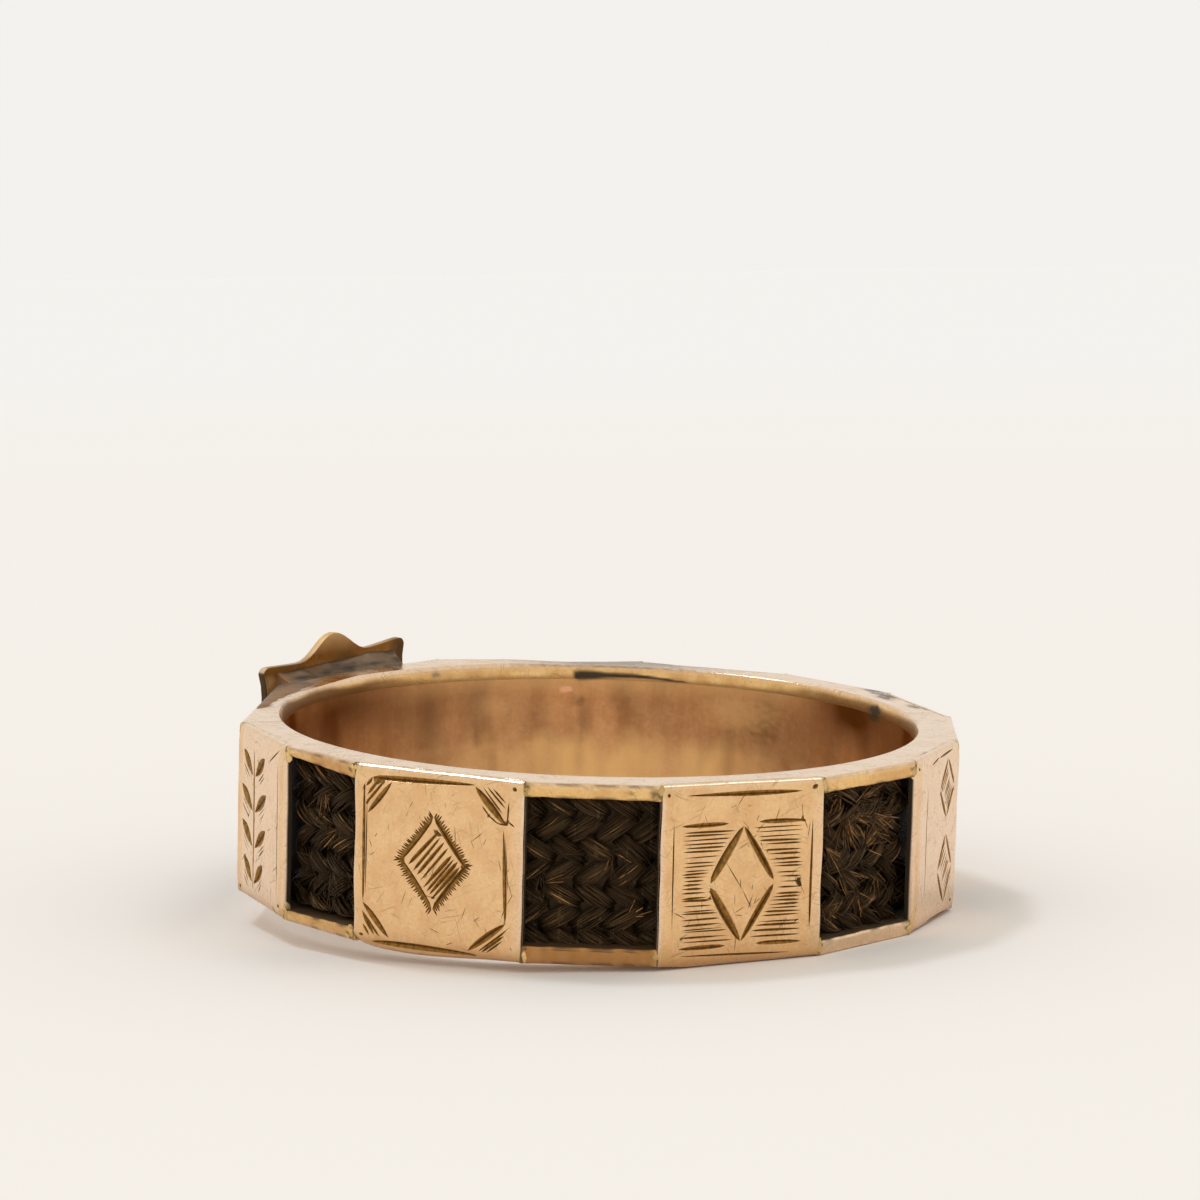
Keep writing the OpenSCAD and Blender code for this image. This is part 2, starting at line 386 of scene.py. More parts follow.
# Upper and lower rail
# The rails are two flat gold wires soldered round the sleeve. They close the channel above and
# below and are filed flat between the panels. Their rims are worn bright, and the rim tops are
# also painted pale as a painted reflection of the light overhead. Their mouths into the finger hole
# and the lower rail's face inside the channel carry painted shade.
band_half_h = 4.85 / 2
top_rail_h, low_rail_h = 0.38, 0.43
corner_r = bore_r + 1.42
rail_corner_r = corner_r - 0.06
under_panel = 0.18
PANELS = [  # centre and arc in degrees, from the left of the front round to the back
    (-65.0, 20.8), (-24.45, 27.6), (21.95, 25.9), (65.9, 20.2), (109.8, 23.4), (159.0, 27.0)]
cartouche_angle, bay_arc = 228.6, 38.0
panel_ends = [centre + s * arc / 2 for centre, arc in PANELS for s in (-1, 1)]
FACETS = sorted(panel_ends + [cartouche_angle - bay_arc / 2, cartouche_angle + bay_arc / 2])


def facet_r(angle):
    """How far out the rails' flats between the corners of the band lie at this angle."""
    a = (angle - FACETS[0]) % 360 + FACETS[0]
    for start, end in zip(FACETS, FACETS[1:] + [FACETS[0] + 360]):
        if start <= a <= end:
            return rail_corner_r * cos(radians(end - start) / 2) / cos(radians(a - (start + end) / 2))


def under_a_panel(angle):
    return np.any([np.abs(turn_from(angle, centre)) < arc / 2 - 0.3 for centre, arc in PANELS], 0)


def nearest_end(around, ends):
    """How far each angle is along the rails from the nearest of these ends, in mm."""
    return np.min([np.abs(turn_from(around, end)) for end in ends], 0) * radians(rail_corner_r)


def rail_section(angle, rail_h, thinner, swell):
    """The wire's section: bevelled into the finger hole, worn soft at its outer rim, and filed
    back where a panel lies over it. It is thinner at some places, and swollen beside the base."""
    outer = facet_r(angle) + 0.012 * noise_at(angle * 0.35, 3.1, 0) - under_panel * under_a_panel(angle)
    top, low, inner = band_half_h, band_half_h - rail_h, bore_r
    low += 0.02 * noise_at(angle * 0.55, 0, 1.7) + np.interp(
        angle, (-54.6, -38.3, -10.7, 9.0, 34.9, 55.8, 70), thinner)
    raised = swell * np.interp(angle, (186, 198, 232, 244), (0, 1, 1, 0))
    bevel_foot, soft = sleeve_half_h + 0.002, 0.055
    bevel = [(inner + 0.72 * h * h, bevel_foot + h) for h in (0, 0.05, 0.1, 0.15, 0.2, 0.25, 0.3, 0.35, 0.39)]
    bevel += [(inner + 0.135, top - 0.008 + 0.7 * raised), (inner + 0.17, top + 0.7 * raised)]
    sag = 0.008 * noise_at(angle * 0.2, 0, 7.7) - 0.004
    top_face = [(r, top + sag + raised * t) for r, t in zip(
        np.linspace(inner + 0.25, outer - soft - 0.03, 9), np.linspace(0.7, 1, 9))]
    top_outer = [(outer - soft * (1 - sin(t)), top + sag + raised - soft * (1 - cos(t)))
                 for t in np.radians([0, 22, 45, 67, 90])]
    front = [(outer + 0.008, top - 0.12), (outer + 0.01, (top + low) / 2), (outer + 0.007, low + 0.115),
             (outer + 0.006, low + 0.09), (outer + 0.004, low + 0.068)]
    lip = [(outer, low + 0.05), (outer - 0.012, low + 0.02), (outer - 0.04, low + 0.004)]
    inside_sleeve = sleeve_outer_r - 0.02
    return bevel + top_face + top_outer + front + lip + [(inside_sleeve, low), (inside_sleeve, bevel_foot)]


rail_gold = worn_gold(
    "worn rail gold", clean=(0.87, 0.55, 0.225, 1), tarnished=(0.68, 0.37, 0.13, 1),
    patch_size=1.1, amount=0.7, roughness=0.25, scratched=0.8, stains=(
        ("inner", (0.19, 0.08, 0.02, 1), 0.95), ("solder", (0.74, 0.49, 0.17, 1), 0.9),
        ("brown", (0.42, 0.19, 0.06, 1), 0.9), ("grey", (0.17, 0.13, 0.10, 1), 0.6),
        ("soot", (0.05, 0.03, 0.014, 1), 0.4)))
near_ends = [e + d for e in FACETS for d in (-0.6, -0.32, -0.28, -0.15, 0, 0.15, 0.28, 0.32, 0.6)]
rail_angles = sorted(set(np.round(list(np.arange(FACETS[0], FACETS[0] + 359.6, 0.8)) + near_ends, 3)))
rail_angles = [a for a in rail_angles if FACETS[0] <= a < FACETS[0] + 359.9]


def corner_solder(around, up):
    """Yellow solder that has run into the corners between the panels and the rails."""
    spread = np.hypot(nearest_end(around, panel_ends) / 0.24, (np.abs(up) - 2.2) / 0.24)
    return unit(1.1 - spread + 1.5 * noise_at(around * 0.6, up * 2.2, 9)) * 0.75


thinner_above = (0.14, -0.06, -0.02, -0.06, -0.06, -0.06, 0)
thinner_below = (0.13, 0.06, -0.05, -0.05, 0.02, 0.01, 0)
points, faces, flat, (around, up, out) = turned(
    lambda angle: rail_section(angle, top_rail_h, thinner_above, 0.1), rail_angles)
below = turned(lambda angle: rail_section(angle, low_rail_h, thinner_below, 0), rail_angles)[0]
# All fields are worked out on the upper rail's points. lip_z is the height of its inner edge
lip_z = np.repeat(up.reshape(len(rail_angles), -1)[:, -2], len(up) // len(rail_angles))
limit = np.vectorize(facet_r)(around)
on_top, by_hole, open_side = up > band_half_h - 0.05, out < bore_r + 0.3, out > limit - 0.12
ragged = noise_at(around * 0.5, out * 2.5, 3)
at_side = unit((np.abs(np.sin(np.radians(around))) - 0.55) / 0.25) * np.where(around > 180, 1, 0.8)
# The rim top is painted pale: worn bright, and a painted reflection of the light overhead, paler still at the
# left and right sides.
rubbed = np.maximum(
    unit(on_top * 0.9 + (up > band_half_h - 0.13) * 0.4), 0.6 * at_side * (up > band_half_h - 0.08))
seam_h = sleeve_half_h + 0.13 + 0.19 * at_side + 0.16 * noise_at(around * 0.07, 0, 4)
# Inner: painted shade on the mouth into the finger hole, below a wavy seam, strongest at the left and right
# sides.
inner = unit((seam_h - up) / 0.14 + 0.5) * (out < bore_r + 0.2) * (0.25 + 0.7 * at_side)
corner_line = unit(1.2 - nearest_end(around, FACETS) / 0.035) * open_side
edge_line = np.interp(around, (30, 36), (1, 0.3)) * open_side * unit(
    1 - np.abs(up - (band_half_h - 0.045)) / 0.035) * unit(0.45 + 2.4 * ragged)
low_line = open_side * unit(1.3 - (up - lip_z) / 0.08) * unit(0.35 + 2.2 * ragged)
seam_line = under_a_panel(around) * on_top * unit(
    1 - (limit - under_panel - out) / 0.09) * unit(0.35 + 1.8 * ragged)
soot = np.maximum.reduce([0.9 * corner_line, 0.8 * edge_line, 0.75 * low_line, 0.85 * seam_line])
# Where the grey solder from the base ends on the upper rim: angles and radii
solder_angles = (232.3, 241.4, 249.3, 255.5, 262, 269, 273)
solder_side = np.interp(around % 360, solder_angles, (9.97, 9.56, 9.44, 9.43, 9.48, 9.65, 10.3))
near_base = (around % 360 < 273) * unit((around % 360 - 236) / 8)
grey = on_top * np.maximum.reduce([
    unit((out - solder_side) / 0.12 + 1.2 * ragged + 0.4) * near_base,
    0.7 * blots(around, out, ((176, 9.9, 26, 1.4, 1.5),)), blots(around, out, (
        (119.5, 9.97, 4.6, 0.2, 2.5), (124.5, 10.17, 3.2, 0.2, 2.5), (107.8, 9.85, 3.2, 0.22, 1.3),
        (105.5, 10.1, 1.8, 0.18, 1.8), (268.5, 9.7, 2.2, 0.25, 2.0), (117.5, 9.72, 3.6, 0.2, 1.5)))])
grey = np.maximum(grey, by_hole * blots(around, up, ((213.6, 2.26, 1.3, 0.16, 0.9),)))
corner_above, corner_below = corner_solder(around, up), corner_solder(around, -up)
specks = np.clip(4 * noise_at(around * 1.7, up * 7.0, 21) - 0.4, 0, 0.9)
soot_and_shade_above = np.maximum.reduce([
    soot, by_hole * slit(around, up), by_hole * blots(around, up, ((114.3, 2.1, 3.0, 0.24, 2.0),)),
    open_side * specks * (corner_above > 0.25), open_side * blots(around, up, (
        (8.0, 2.19, 1.1, 0.16, 1.2), (-10.2, 2.27, 0.6, 0.08, 1.5), (-1.5, 2.3, 0.35, 0.1, 1.5),
        (4.2, 2.24, 1.3, 0.05, 1.2)))])
line_below = 0.75 * (np.abs(up - lip_z - 0.09) < 0.012) * unit(0.5 + 2.5 * ragged)
line_below *= (around > -12) * (around < 7)
# The lower rail's face inside the channel, beside the braid, is painted dark as painted shade.
soot_and_shade_below = np.maximum.reduce([
    soot, open_side * specks * (corner_below > 0.25), open_side * line_below,
    0.92 * (up < lip_z + 0.01) * (out > sleeve_outer_r - 0.05)])
dull = 0.5 + 0.5 * noise_at(around * 0.8, up * 3.0, 12)
brown_above = open_side * dull * blots(around, up, ((-45, 2.1, 9, 1.2, 1.2),))
brown_below = np.interp(around, (-12, -10, 8.3, 9.2), (0.5, 1, 1, 0.2)) * ((around > -12) & (around < 9.2))
brown_below = open_side * np.maximum(
    (0.72 + 0.3 * dull) * brown_below, 0.3 * ((around > -53.2) & (around < -39.6)))
fields = {"flat": flat, "rubbed": rubbed, "inner": inner}
make_piece("upper_rail", points, faces, rail_gold, "rose_gold", "gold_band", sharp=40, grey=grey,
           soot=soot_and_shade_above, brown=brown_above, solder=corner_above * open_side, **fields)
flip = np.array([1, 1, -1])
fields["flat"] = flat * flip
# The lower rail under window 3 is painted paler, a painted reflection of the lit floor.
fields["rubbed"] = np.maximum(
    rubbed, 0.75 * open_side * ((around > 34) & (around < 57)) * (up < band_half_h - 0.05))
make_piece("lower_rail", below * flip, [f[::-1] for f in faces], rail_gold, "rose_gold", "gold_band",
           sharp=40, soot=soot_and_shade_below, brown=brown_below, solder=corner_below * open_side, **fields)

# Braid of hair
# A flat plait of dark brown hair lies in the channel. Each float is a bundle of hairs that
# slants across a row and dives under the next. It shows only in the windows between the panels.
rows = random.Random(11)
draw = rows.uniform
braid_low, braid_top = -1.965, 2.015
channel_floor_r, braid_base_r = 9.51, 9.80
row_h = 0.61
float_pitch = 0.86
float_length = 1.2
float_width = 0.47
float_rise = 0.24
hair_r = 0.019
hair_steps = 8
braid_start, braid_end = cartouche_angle - 360 + 17, cartouche_angle - 13.3
WINDOWS = [*zip(FACETS[1:-1:2], FACETS[2::2]), (FACETS[-1] - 360, FACETS[0])]


def tubes(paths, radius, sides, first=0):
    """Thin closed tubes along many paths (paths, points, xyz), all made at once."""
    paths = np.asarray(paths, float)
    count, steps, _ = paths.shape

    def normed(vectors):
        return vectors / (np.linalg.norm(vectors, axis=2, keepdims=True) + 1e-12)

    along = normed(np.gradient(paths, axis=1))
    aside = normed(np.cross(along, normed(paths * np.array([1, 1, 0]))))
    lift = np.cross(aside, along)
    radius = np.broadcast_to(np.asarray(radius, float), (count, steps))[:, :, None]
    turns = [2 * pi * (k + 0.5) / sides for k in range(sides)]
    points = np.stack([paths + radius * (cos(t) * aside + sin(t) * lift) for t in turns], 2).reshape(-1, 3)
    faces = []
    for path in range(count):
        faces += tube_faces(steps, sides, first + path * steps * sides, capped=True)
    return points, faces


hair, tree, shader = new_material("dark brown hair")
hair_colour = add_node(tree, "ValToRGB", {"Fac": field(tree, "shade")})
ramp = hair_colour.color_ramp
ramp.elements[0].color = (0.009, 0.0055, 0.0028, 1)
ramp.elements[1].position = 0.97
ramp.elements[1].color = (0.55, 0.28, 0.10, 1)
for position, colour in ((0.45, (0.036, 0.021, 0.0105, 1)), (0.8, (0.10, 0.058, 0.027, 1))):
    ramp.elements.new(position).color = colour
hair_place = field(tree, "flat", "Vector")
fleck = stepped(stretched_noise(hair_place, (7.0, 7.0), 1.0), 0.64, 0.72, 0.0, 0.55)
fibre = stretched_noise(hair_place, (14.0, 60.0), 2.0)
hair_bump = add_node(tree, "Bump", {"Height": fibre, "Strength": 0.6, "Distance": 0.015 * mm})
fill(shader, {"Base Color": blended(fleck, hair_colour.outputs["Color"], (0.16, 0.105, 0.06, 1)),
              "Roughness": 0.4, "Specular IOR Level": 0.35, "Specular Tint": (1.0, 0.66, 0.38, 1),
              "Normal": hair_bump.outputs["Normal"]})


def braid_section(angle):
    """The plait's body under its floats, thinner along both edges."""
    inner, edge, middle = channel_floor_r, braid_base_r - 0.2, braid_base_r - 0.15
    return [(inner, braid_low), (edge, braid_low), (middle - 0.01, -1.0), (middle, 0),
            (middle - 0.01, 1.0), (edge, braid_top), (inner, braid_top)]


points, faces, flat, _ = turned(braid_section, np.arange(braid_start, braid_end + 0.1, 2.0), closed=False)
# The body is painted near black, painted shade under and between the floats.
make_piece("braid_body", points, faces, hair, "woven_hair", "hair_braid", flat=flat,
           shade=np.full(len(points), 0.08))


def over_braid(angle, height, along, up, out):
    """A path that leaves a place on the braid by these distances along and up."""
    angles = angle + np.degrees(along / braid_base_r)
    return round_band(angles, out, np.clip(height + up, braid_low, braid_top))


def hair_bundle(angle, height, slant, loose):
    """The hairs of one float as paths: side by side over a crowned section, diving at both ends."""
    count = 20
    t = np.linspace(-1, 1, hair_steps)
    paths = []
    turn = radians(slant + draw(-4, 4) * (1 + loose))
    length = float_length * draw(0.94, 1.08)
    lift = draw(-0.02, 0.02) * (1 + loose)
    for j in range(count):
        side = -1 + 2 * (j + 0.5 + draw(-0.4, 0.4)) / count
        narrowing = 1 - 0.2 * np.abs(t) ** 3
        across = side * float_width / 2 * narrowing + draw(-1, 1) * 0.026 * (1 + loose) * np.sin(
            t * draw(1, 3.5) + draw(0, 6))
        along = t * length / 2 + draw(-0.05, 0.05)
        stray = draw(0.03, 0.09) * (1 + loose) if rows.random() < 0.05 + 0.05 * loose else 0
        crown = max(0.03, 1 - abs(side) ** 2.4) ** 0.6
        out = braid_base_r - 0.11 + lift + float_rise * (1 - np.abs(t) ** 2.8) * crown + draw(
            -0.022, 0.022) * (1 + loose) + stray * (1 - t * t)
        right, up = along * cos(turn) - across * sin(turn), along * sin(turn) + across * cos(turn)
        paths.append(over_braid(angle, height, right, up, out))
    return paths


def float_core(angle, height, slant):
    """The heart of a float, under its hairs, painted near black as painted shade."""
    t = np.linspace(-1, 1, hair_steps)
    turn, reach = radians(slant), t * float_length / 2
    out = braid_base_r - 0.24 + float_rise * 0.7 * (1 - np.abs(t) ** 2.6)
    return over_braid(angle, height, reach * cos(turn), reach * sin(turn), out)


def tuft(angle, height, heading, spread, count, length):
    """Short stiff hairs that stand out of a worn spot, fanned round one heading."""
    paths = []
    t = np.linspace(0, 1, hair_steps)
    for _ in range(count):
        turn = radians(heading + rows.gauss(0, spread))
        reach = length * draw(0.45, 1.1)
        bend = draw(-0.06, 0.06)
        along = draw(-0.1, 0.1) + reach * t * cos(turn) - bend * t * t * sin(turn)
        up = draw(-0.1, 0.1) + reach * t * sin(turn) + bend * t * t * cos(turn)
        out = braid_base_r + 0.03 + draw(0.05, 0.3) * t ** draw(0.6, 1.3)
        paths.append(over_braid(angle, height, along, up, out))
    return paths


def woven_window(start, end, loose):
    """All floats that show between two panels, and hairs that have come loose all over it."""
    start, end = max(start - 1.5, braid_start + 3), min(end + 1.5, braid_end - 3)
    pitch = degrees(float_pitch / braid_base_r)
    hairs, cores, shades, strays = [], [], [], []
    for row in range(7):
        height = (3 - row) * row_h - 0.06
        slant = (-35 if row % 2 == 0 else 35) + draw(-2, 2)
        angle = start + draw(0, 0.3) * pitch + (row // 2 % 2) * 0.2 * pitch
        while angle < end + pitch / 2:
            wobble = draw(-0.06, 0.06) * (1 + loose)
            bundle = hair_bundle(angle + wobble * pitch, height, slant, loose)
            hairs += bundle
            # Painted light and shade: floats in the loosest window are painted lighter against the shade they
            # lie in, and each float is painted darker towards its sides.
            tone, phase = draw(0.36, 0.66) + 0.06 * (loose > 1), draw(0, 6)
            for j in range(len(bundle)):
                rounding = 0.16 * abs(2 * (j + 0.5) / len(bundle) - 1) ** 3
                bright = 0.2 if rows.random() < 0.06 else 0
                strand = tone - rounding + 0.1 * sin(j * 0.8 + phase) + rows.gauss(0, 0.14) + bright
                shades.append(min(1, max(0.05, strand)))
            cores.append(float_core(angle, height, slant))
            angle += pitch * draw(0.96, 1.04)
    for _ in range(int(50 * loose)):
        strays += tuft(draw(start, end), draw(-1.75, 1.75), draw(0, 360), 14, 3, draw(0.35, 0.75))
    return hairs, cores, shades, strays


window_looseness = {0: 0.9, 1: 0.25, 2: 1.3}
TUFTS = {  # angle, height, heading, spread, count, length of the worn spots in a window
    0: [(-49.5, 1.3, -70, 25, 14, 0.9), (-45, 0.4, -120, 30, 12, 0.8), (-47, -0.9, -60, 30, 10, 0.8)],
    1: [(-8, -0.3, 20, 30, 5, 0.7), (2, 0.5, -60, 40, 6, 0.7), (5, -1.2, 30, 40, 5, 0.6)],
    2: [(42.3, 1.15, -75, 28, 38, 0.95), (42.8, 1.2, -15, 22, 26, 0.9), (47.5, 1.1, -25, 26, 30, 0.85),
        (37.5, 0.5, -45, 12, 24, 1.0), (42.0, -0.4, -50, 22, 24, 0.9), (47.5, 0.2, 60, 35, 24, 0.7),
        (41.0, 1.7, -140, 35, 22, 0.6), (45.5, -1.0, -110, 40, 22, 0.7), (38.5, -1.3, -70, 35, 20, 0.6),
        (50.5, -0.6, -100, 30, 18, 0.7), (38.0, 1.4, -110, 25, 18, 0.7), (50, 1.0, -40, 20, 24, 0.8),
        (49.5, 0.5, 5, 18, 18, 0.9), (46, 1.5, 20, 20, 16, 0.9)]}
# Painted shade: woven hairs darken towards both ends, where they dive under the next row. Loose hairs are
# darker at the root.
woven_fade = 1 - 0.65 * np.abs(np.linspace(-1, 1, hair_steps)) ** 2.4
root_to_tip = unit(np.linspace(0.25, 2.6, hair_steps))
loose_thickness = np.linspace(0.017, 0.009, hair_steps)
core_thickness = np.array([0.05, 0.1, 0.13, 0.14, 0.14, 0.13, 0.1, 0.05])
for number, (start, end) in enumerate(WINDOWS):
    hairs, cores, shades, loose_hairs = woven_window(start, end, window_looseness.get(number, 0.3))
    stray_shades = [draw(0.3, 0.75) for _ in loose_hairs]
    for worn_spot in TUFTS.get(number, []):
        spray = tuft(*worn_spot)
        loose_hairs += spray
        stray_shades += [min(1, draw(0.55, 0.92) + (0.15 if rows.random() < 0.35 else 0)) for _ in spray]
    thickness = np.concatenate([
        np.full((len(hairs), hair_steps), hair_r), np.tile(loose_thickness, (len(loose_hairs), 1))])
    fade = np.concatenate([np.tile(woven_fade, (len(hairs), 1)), np.tile(root_to_tip, (len(loose_hairs), 1))])
    points, faces = tubes(hairs + loose_hairs, thickness, 3)
    core_points, core_faces = tubes(cores, core_thickness, 6, first=len(points))
    strand_shades = np.array(shades + stray_shades)[:, None] * fade
    shade_values = np.concatenate([np.repeat(strand_shades.ravel(), 3), np.full(len(core_points), 0.05)])
    points = np.concatenate([points, core_points])
    make_piece(f"braid_window_{number + 1}", points, faces + core_faces, hair, "woven_hair", "hair_braid",
               sharp=180, shade=shade_values, flat=points)

# Engraved panels
# Six flat gold plates are soldered across the channel. Their edges are filed soft, and each is
# cut by hand with a square graver, whose tapered cuts hold olive-brown dirt.
panel_t = 0.25
margin_h = 0.5
margin_fall = 0.07
edge_softness = 0.09
deepest_cut = 0.085
EDGE_INSETS = (0.012, 0.035, 0.07, 0.11)


class Graver:
    """Collects the cuts of one plate: ends in mm, width, where along it a cut is widest, how
    blunt its ends are (small is blunt), and how far its deepest line lies to one side."""

    def __init__(self, seed):
        self.cuts = []
        self.hand = random.Random(seed)

    def cut(self, x0, y0, x1, y1, width, belly=0.5, taper=0.75, to_side=0.0):
        self.cuts.append((x0, y0, x1, y1, width, belly, taper, to_side))

    def hatch(self, lines, width, taper=0.6):
        """Fine lines from a list of ends, each a little uneven."""
        uneven = self.hand.uniform
        for x0, y0, x1, y1 in lines:
            wander = uneven(-0.025, 0.025)
            self.cut(x0 + uneven(-0.03, 0.03), y0 + wander, x1 + uneven(-0.04, 0.04),
                     y1 + wander + uneven(-0.02, 0.02), width * uneven(0.65, 1.5), uneven(0.3, 0.7), taper)

    def across(self, x, y, dx, dy, width):
        self.cut(x - dx, y - dy, x + dx, y + dy, width)

    def scratch(self, half_w, half_h, count):
        """Shallow accidental scratches all over the plate."""
        h = self.hand
        for _ in range(count):
            x, y, turn = h.uniform(-half_w, half_w), h.uniform(-half_h, half_h), h.gauss(1.2, 0.7)
            length = h.uniform(0.1, 0.55)
            dx, dy = length / 2 * cos(turn), length / 2 * sin(turn)
            if abs(x) + abs(dx) < half_w and abs(y) + abs(dy) < half_h:
                self.across(x, y, dx, dy, h.uniform(0.012, 0.024))


def spindle(t, belly, taper):
    """Width of a tapered cut along its length, 1 where it is widest."""
    return np.sin(pi * unit(t) ** (log(0.5) / log(belly))) ** taper


def cut_depth(xy, cuts):
    """At each point: depth of the cuts in mm, how far down a cut's wall it is from 0 to 1, and
    how broad that cut is from 0 to 1."""
    depth, wall, broad = np.zeros((3, len(xy)))
    for x0, y0, x1, y1, width, belly, taper, to_side in cuts:
        a, d = np.array([x0, y0]), np.array([x1 - x0, y1 - y0])
        length = np.hypot(*d)
        t = (xy - a) @ d / length ** 2
        half = np.maximum(width / 2 * spindle(t, belly, taper), 1e-9)
        side = (xy - a) @ np.array([-d[1], d[0]]) / length / half
        near = (t > -0.01) & (t < 1.01) & (np.abs(side) * half < half + 0.004)
        down = np.where(side > to_side, (1 - side) / (1 - to_side), (1 + side) / (1 + to_side))
        down = np.where(near, unit(down), 0)
        depth = np.maximum(depth, down * np.minimum(half * 0.75, deepest_cut))
        wall = np.maximum(wall, down * np.minimum(half / 0.012, 1))
        broad = np.maximum(broad, np.where(near, unit((half - 0.015) / 0.03), 0))
    return depth, wall, broad


def inset_line(outline, distance):
    """The closed outline moved inwards. The outline runs anticlockwise."""
    along = np.roll(outline, -1, 0) - np.roll(outline, 1, 0)
    along /= np.linalg.norm(along, axis=1, keepdims=True)
    return outline + np.reshape(distance, (-1, 1)) * np.stack([-along[:, 1], along[:, 0]], -1)


def distance_inside(xy, outline):
    """Distance of each point from the closed outline."""
    best = np.full(len(xy), 1e9)
    for p, q in zip(outline, np.roll(outline, -1, 0)):
        d = q - p
        t = unit((xy - p) @ d / max(d @ d, 1e-12))
        best = np.minimum(best, np.linalg.norm(xy - p - t[:, None] * d, axis=1))
    return best


def inside(xy, outline):
    """Whether each point lies inside the closed outline."""
    a, b = outline, np.roll(outline, -1, 0)
    x, y = xy[:, :1], xy[:, 1:]
    crosses = (a[:, 1] > y) != (b[:, 1] > y)
    where = a[:, 0] + (y - a[:, 1]) / (b[:, 1] - a[:, 1] + 1e-15) * (b[:, 0] - a[:, 0])
    return (crosses & (x < where)).sum(1) % 2 == 1


def engraved_plate(outline, cuts, face_height, thickness, spacing, back_seen=False):
    """A closed plate with an engraved face. Returns its points (right, up, out), its faces, and
    the fields cut, broad and rubbed. A back that is seen gets as many points as the face."""
    points, edges = [], []

    def add_line(line, closed=True):
        first, count = len(points), len(line)
        points.extend(tuple(p) for p in line)
        edges.extend((first + i, first + (i + 1) % count) for i in range(count if closed else count - 1))

    add_line(outline)
    for distance in EDGE_INSETS:
        add_line(inset_line(outline, distance))
    for x0, y0, x1, y1, width, belly, taper, to_side in cuts:
        length = hypot(x1 - x0, y1 - y0)
        t = np.linspace(0, 1, int(np.clip(length / 0.14, 4, 16)))
        centre = np.array([x0, y0]) + t[:, None] * np.array([x1 - x0, y1 - y0])
        aside = np.array([-(y1 - y0), x1 - x0]) / length * (width / 2 * spindle(t, belly, taper))[:, None]
        add_line(np.concatenate([centre + aside, (centre - aside)[-2:0:-1]]))
        add_line(centre + to_side * aside, False)
    low, high = outline.min(0), outline.max(0)
    lines = [np.linspace(low[k], high[k], int((high[k] - low[k]) / spacing)) for k in (0, 1)]
    grid = np.stack(np.meshgrid(*lines), -1).reshape(-1, 2)
    grid = grid[inside(grid, outline) & (distance_inside(grid, outline) > EDGE_INSETS[-1] + 0.05)]
    points.extend(tuple(p) for p in grid)
    flat_points, _, triangles, *_ = delaunay_2d_cdt([Vector(p) for p in points], edges, [], 1, 1e-5, False)
    xy = np.array([tuple(p) for p in flat_points])
    kept = inside(xy[np.array(triangles)].mean(1), outline)
    to_edge = distance_inside(xy, outline)
    from_edge = np.minimum(to_edge, edge_softness)
    rounding = edge_softness - np.sqrt(np.maximum(0, edge_softness ** 2 - (edge_softness - from_edge) ** 2))
    depth, wall, broad = cut_depth(xy, cuts)
    body = bmesh.new()
    for (x, y), h in zip(xy, face_height(xy) - rounding - depth):
        body.verts.new((x, y, h))
    body.verts.ensure_lookup_table()
    for triangle, keep in zip(triangles, kept):
        if keep and len(set(triangle)) == 3:
            body.faces.new([body.verts[i] for i in triangle])
    rim = [e for e in body.edges if len(e.link_faces) == 1]
    if back_seen:
        behind = {v: body.verts.new((v.co.x, v.co.y, -thickness)) for v in list(body.verts)}
        for face in list(body.faces):
            body.faces.new([behind[v] for v in reversed(face.verts)])
        for edge in rim:
            a, b = edge.verts
            body.faces.new((a, b, behind[b], behind[a]))
    else:
        for v in bmesh.ops.extrude_edge_only(body, edges=rim)["geom"]:
            if isinstance(v, bmesh.types.BMVert):
                v.co.z = -thickness
        bmesh.ops.holes_fill(body, edges=[e for e in body.edges if len(e.link_faces) == 1], sides=0)
    bmesh.ops.recalc_face_normals(body, faces=body.faces)
    body.verts.index_update()
    made = np.array([tuple(v.co) for v in body.verts])
    faces = [[v.index for v in f.verts] for f in body.faces]
    body.free()
    back = np.zeros(len(made) - len(xy))
    fields = {"cut": wall, "broad": broad, "rubbed": unit(1 - to_edge / 0.16)}
    return made, faces, {name: np.concatenate([values, back]) for name, values in fields.items()}


def across_facet(local, angle, face_r):
    """Points (right, up, out) of a plate that faces outwards at this angle, on the upright ring."""
    a = radians(angle)
    side, out = np.array([cos(a), sin(a), 0]), np.array([sin(a), -cos(a), 0])
    return local[:, :1] * side + local[:, 1:2] * np.array([0, 0, 1]) + (face_r + local[:, 2:3]) * out


def sides(corners):
    return zip(corners, corners[1:] + corners[:1])


def divided(corners, step):
    """A closed line's points at about this distance from each other."""
    points = []
    for (x0, y0), (x1, y1) in sides(corners):
        n = max(1, int(hypot(x1 - x0, y1 - y0) / step))
        points += [(x0 + (x1 - x0) * i / n, y0 + (y1 - y0) * i / n) for i in range(n)]
    return np.array(points)


def soft_rectangle(half_w, half_h, corner, hand):
    """A plate's outline, anticlockwise, with worn corners and slightly uneven edges."""
    line = []
    for cx, cy, start in ((1, 1, 0), (-1, 1, 90), (-1, -1, 180), (1, -1, 270)):
        for t in np.radians(np.linspace(start, start + 90, 6)):
            line.append((cx * (half_w - corner) + corner * cos(t), cy * (half_h - corner) + corner * sin(t)))
    line = divided(line, 0.15)
    x, y = line.T
    uneven = np.where(np.abs(y) > half_h - 0.1, 0.012, 0.034)
    return inset_line(line, 0.008 + uneven * noise_at(x * 0.8 + hand.uniform(0, 50), y * 0.8, 0))


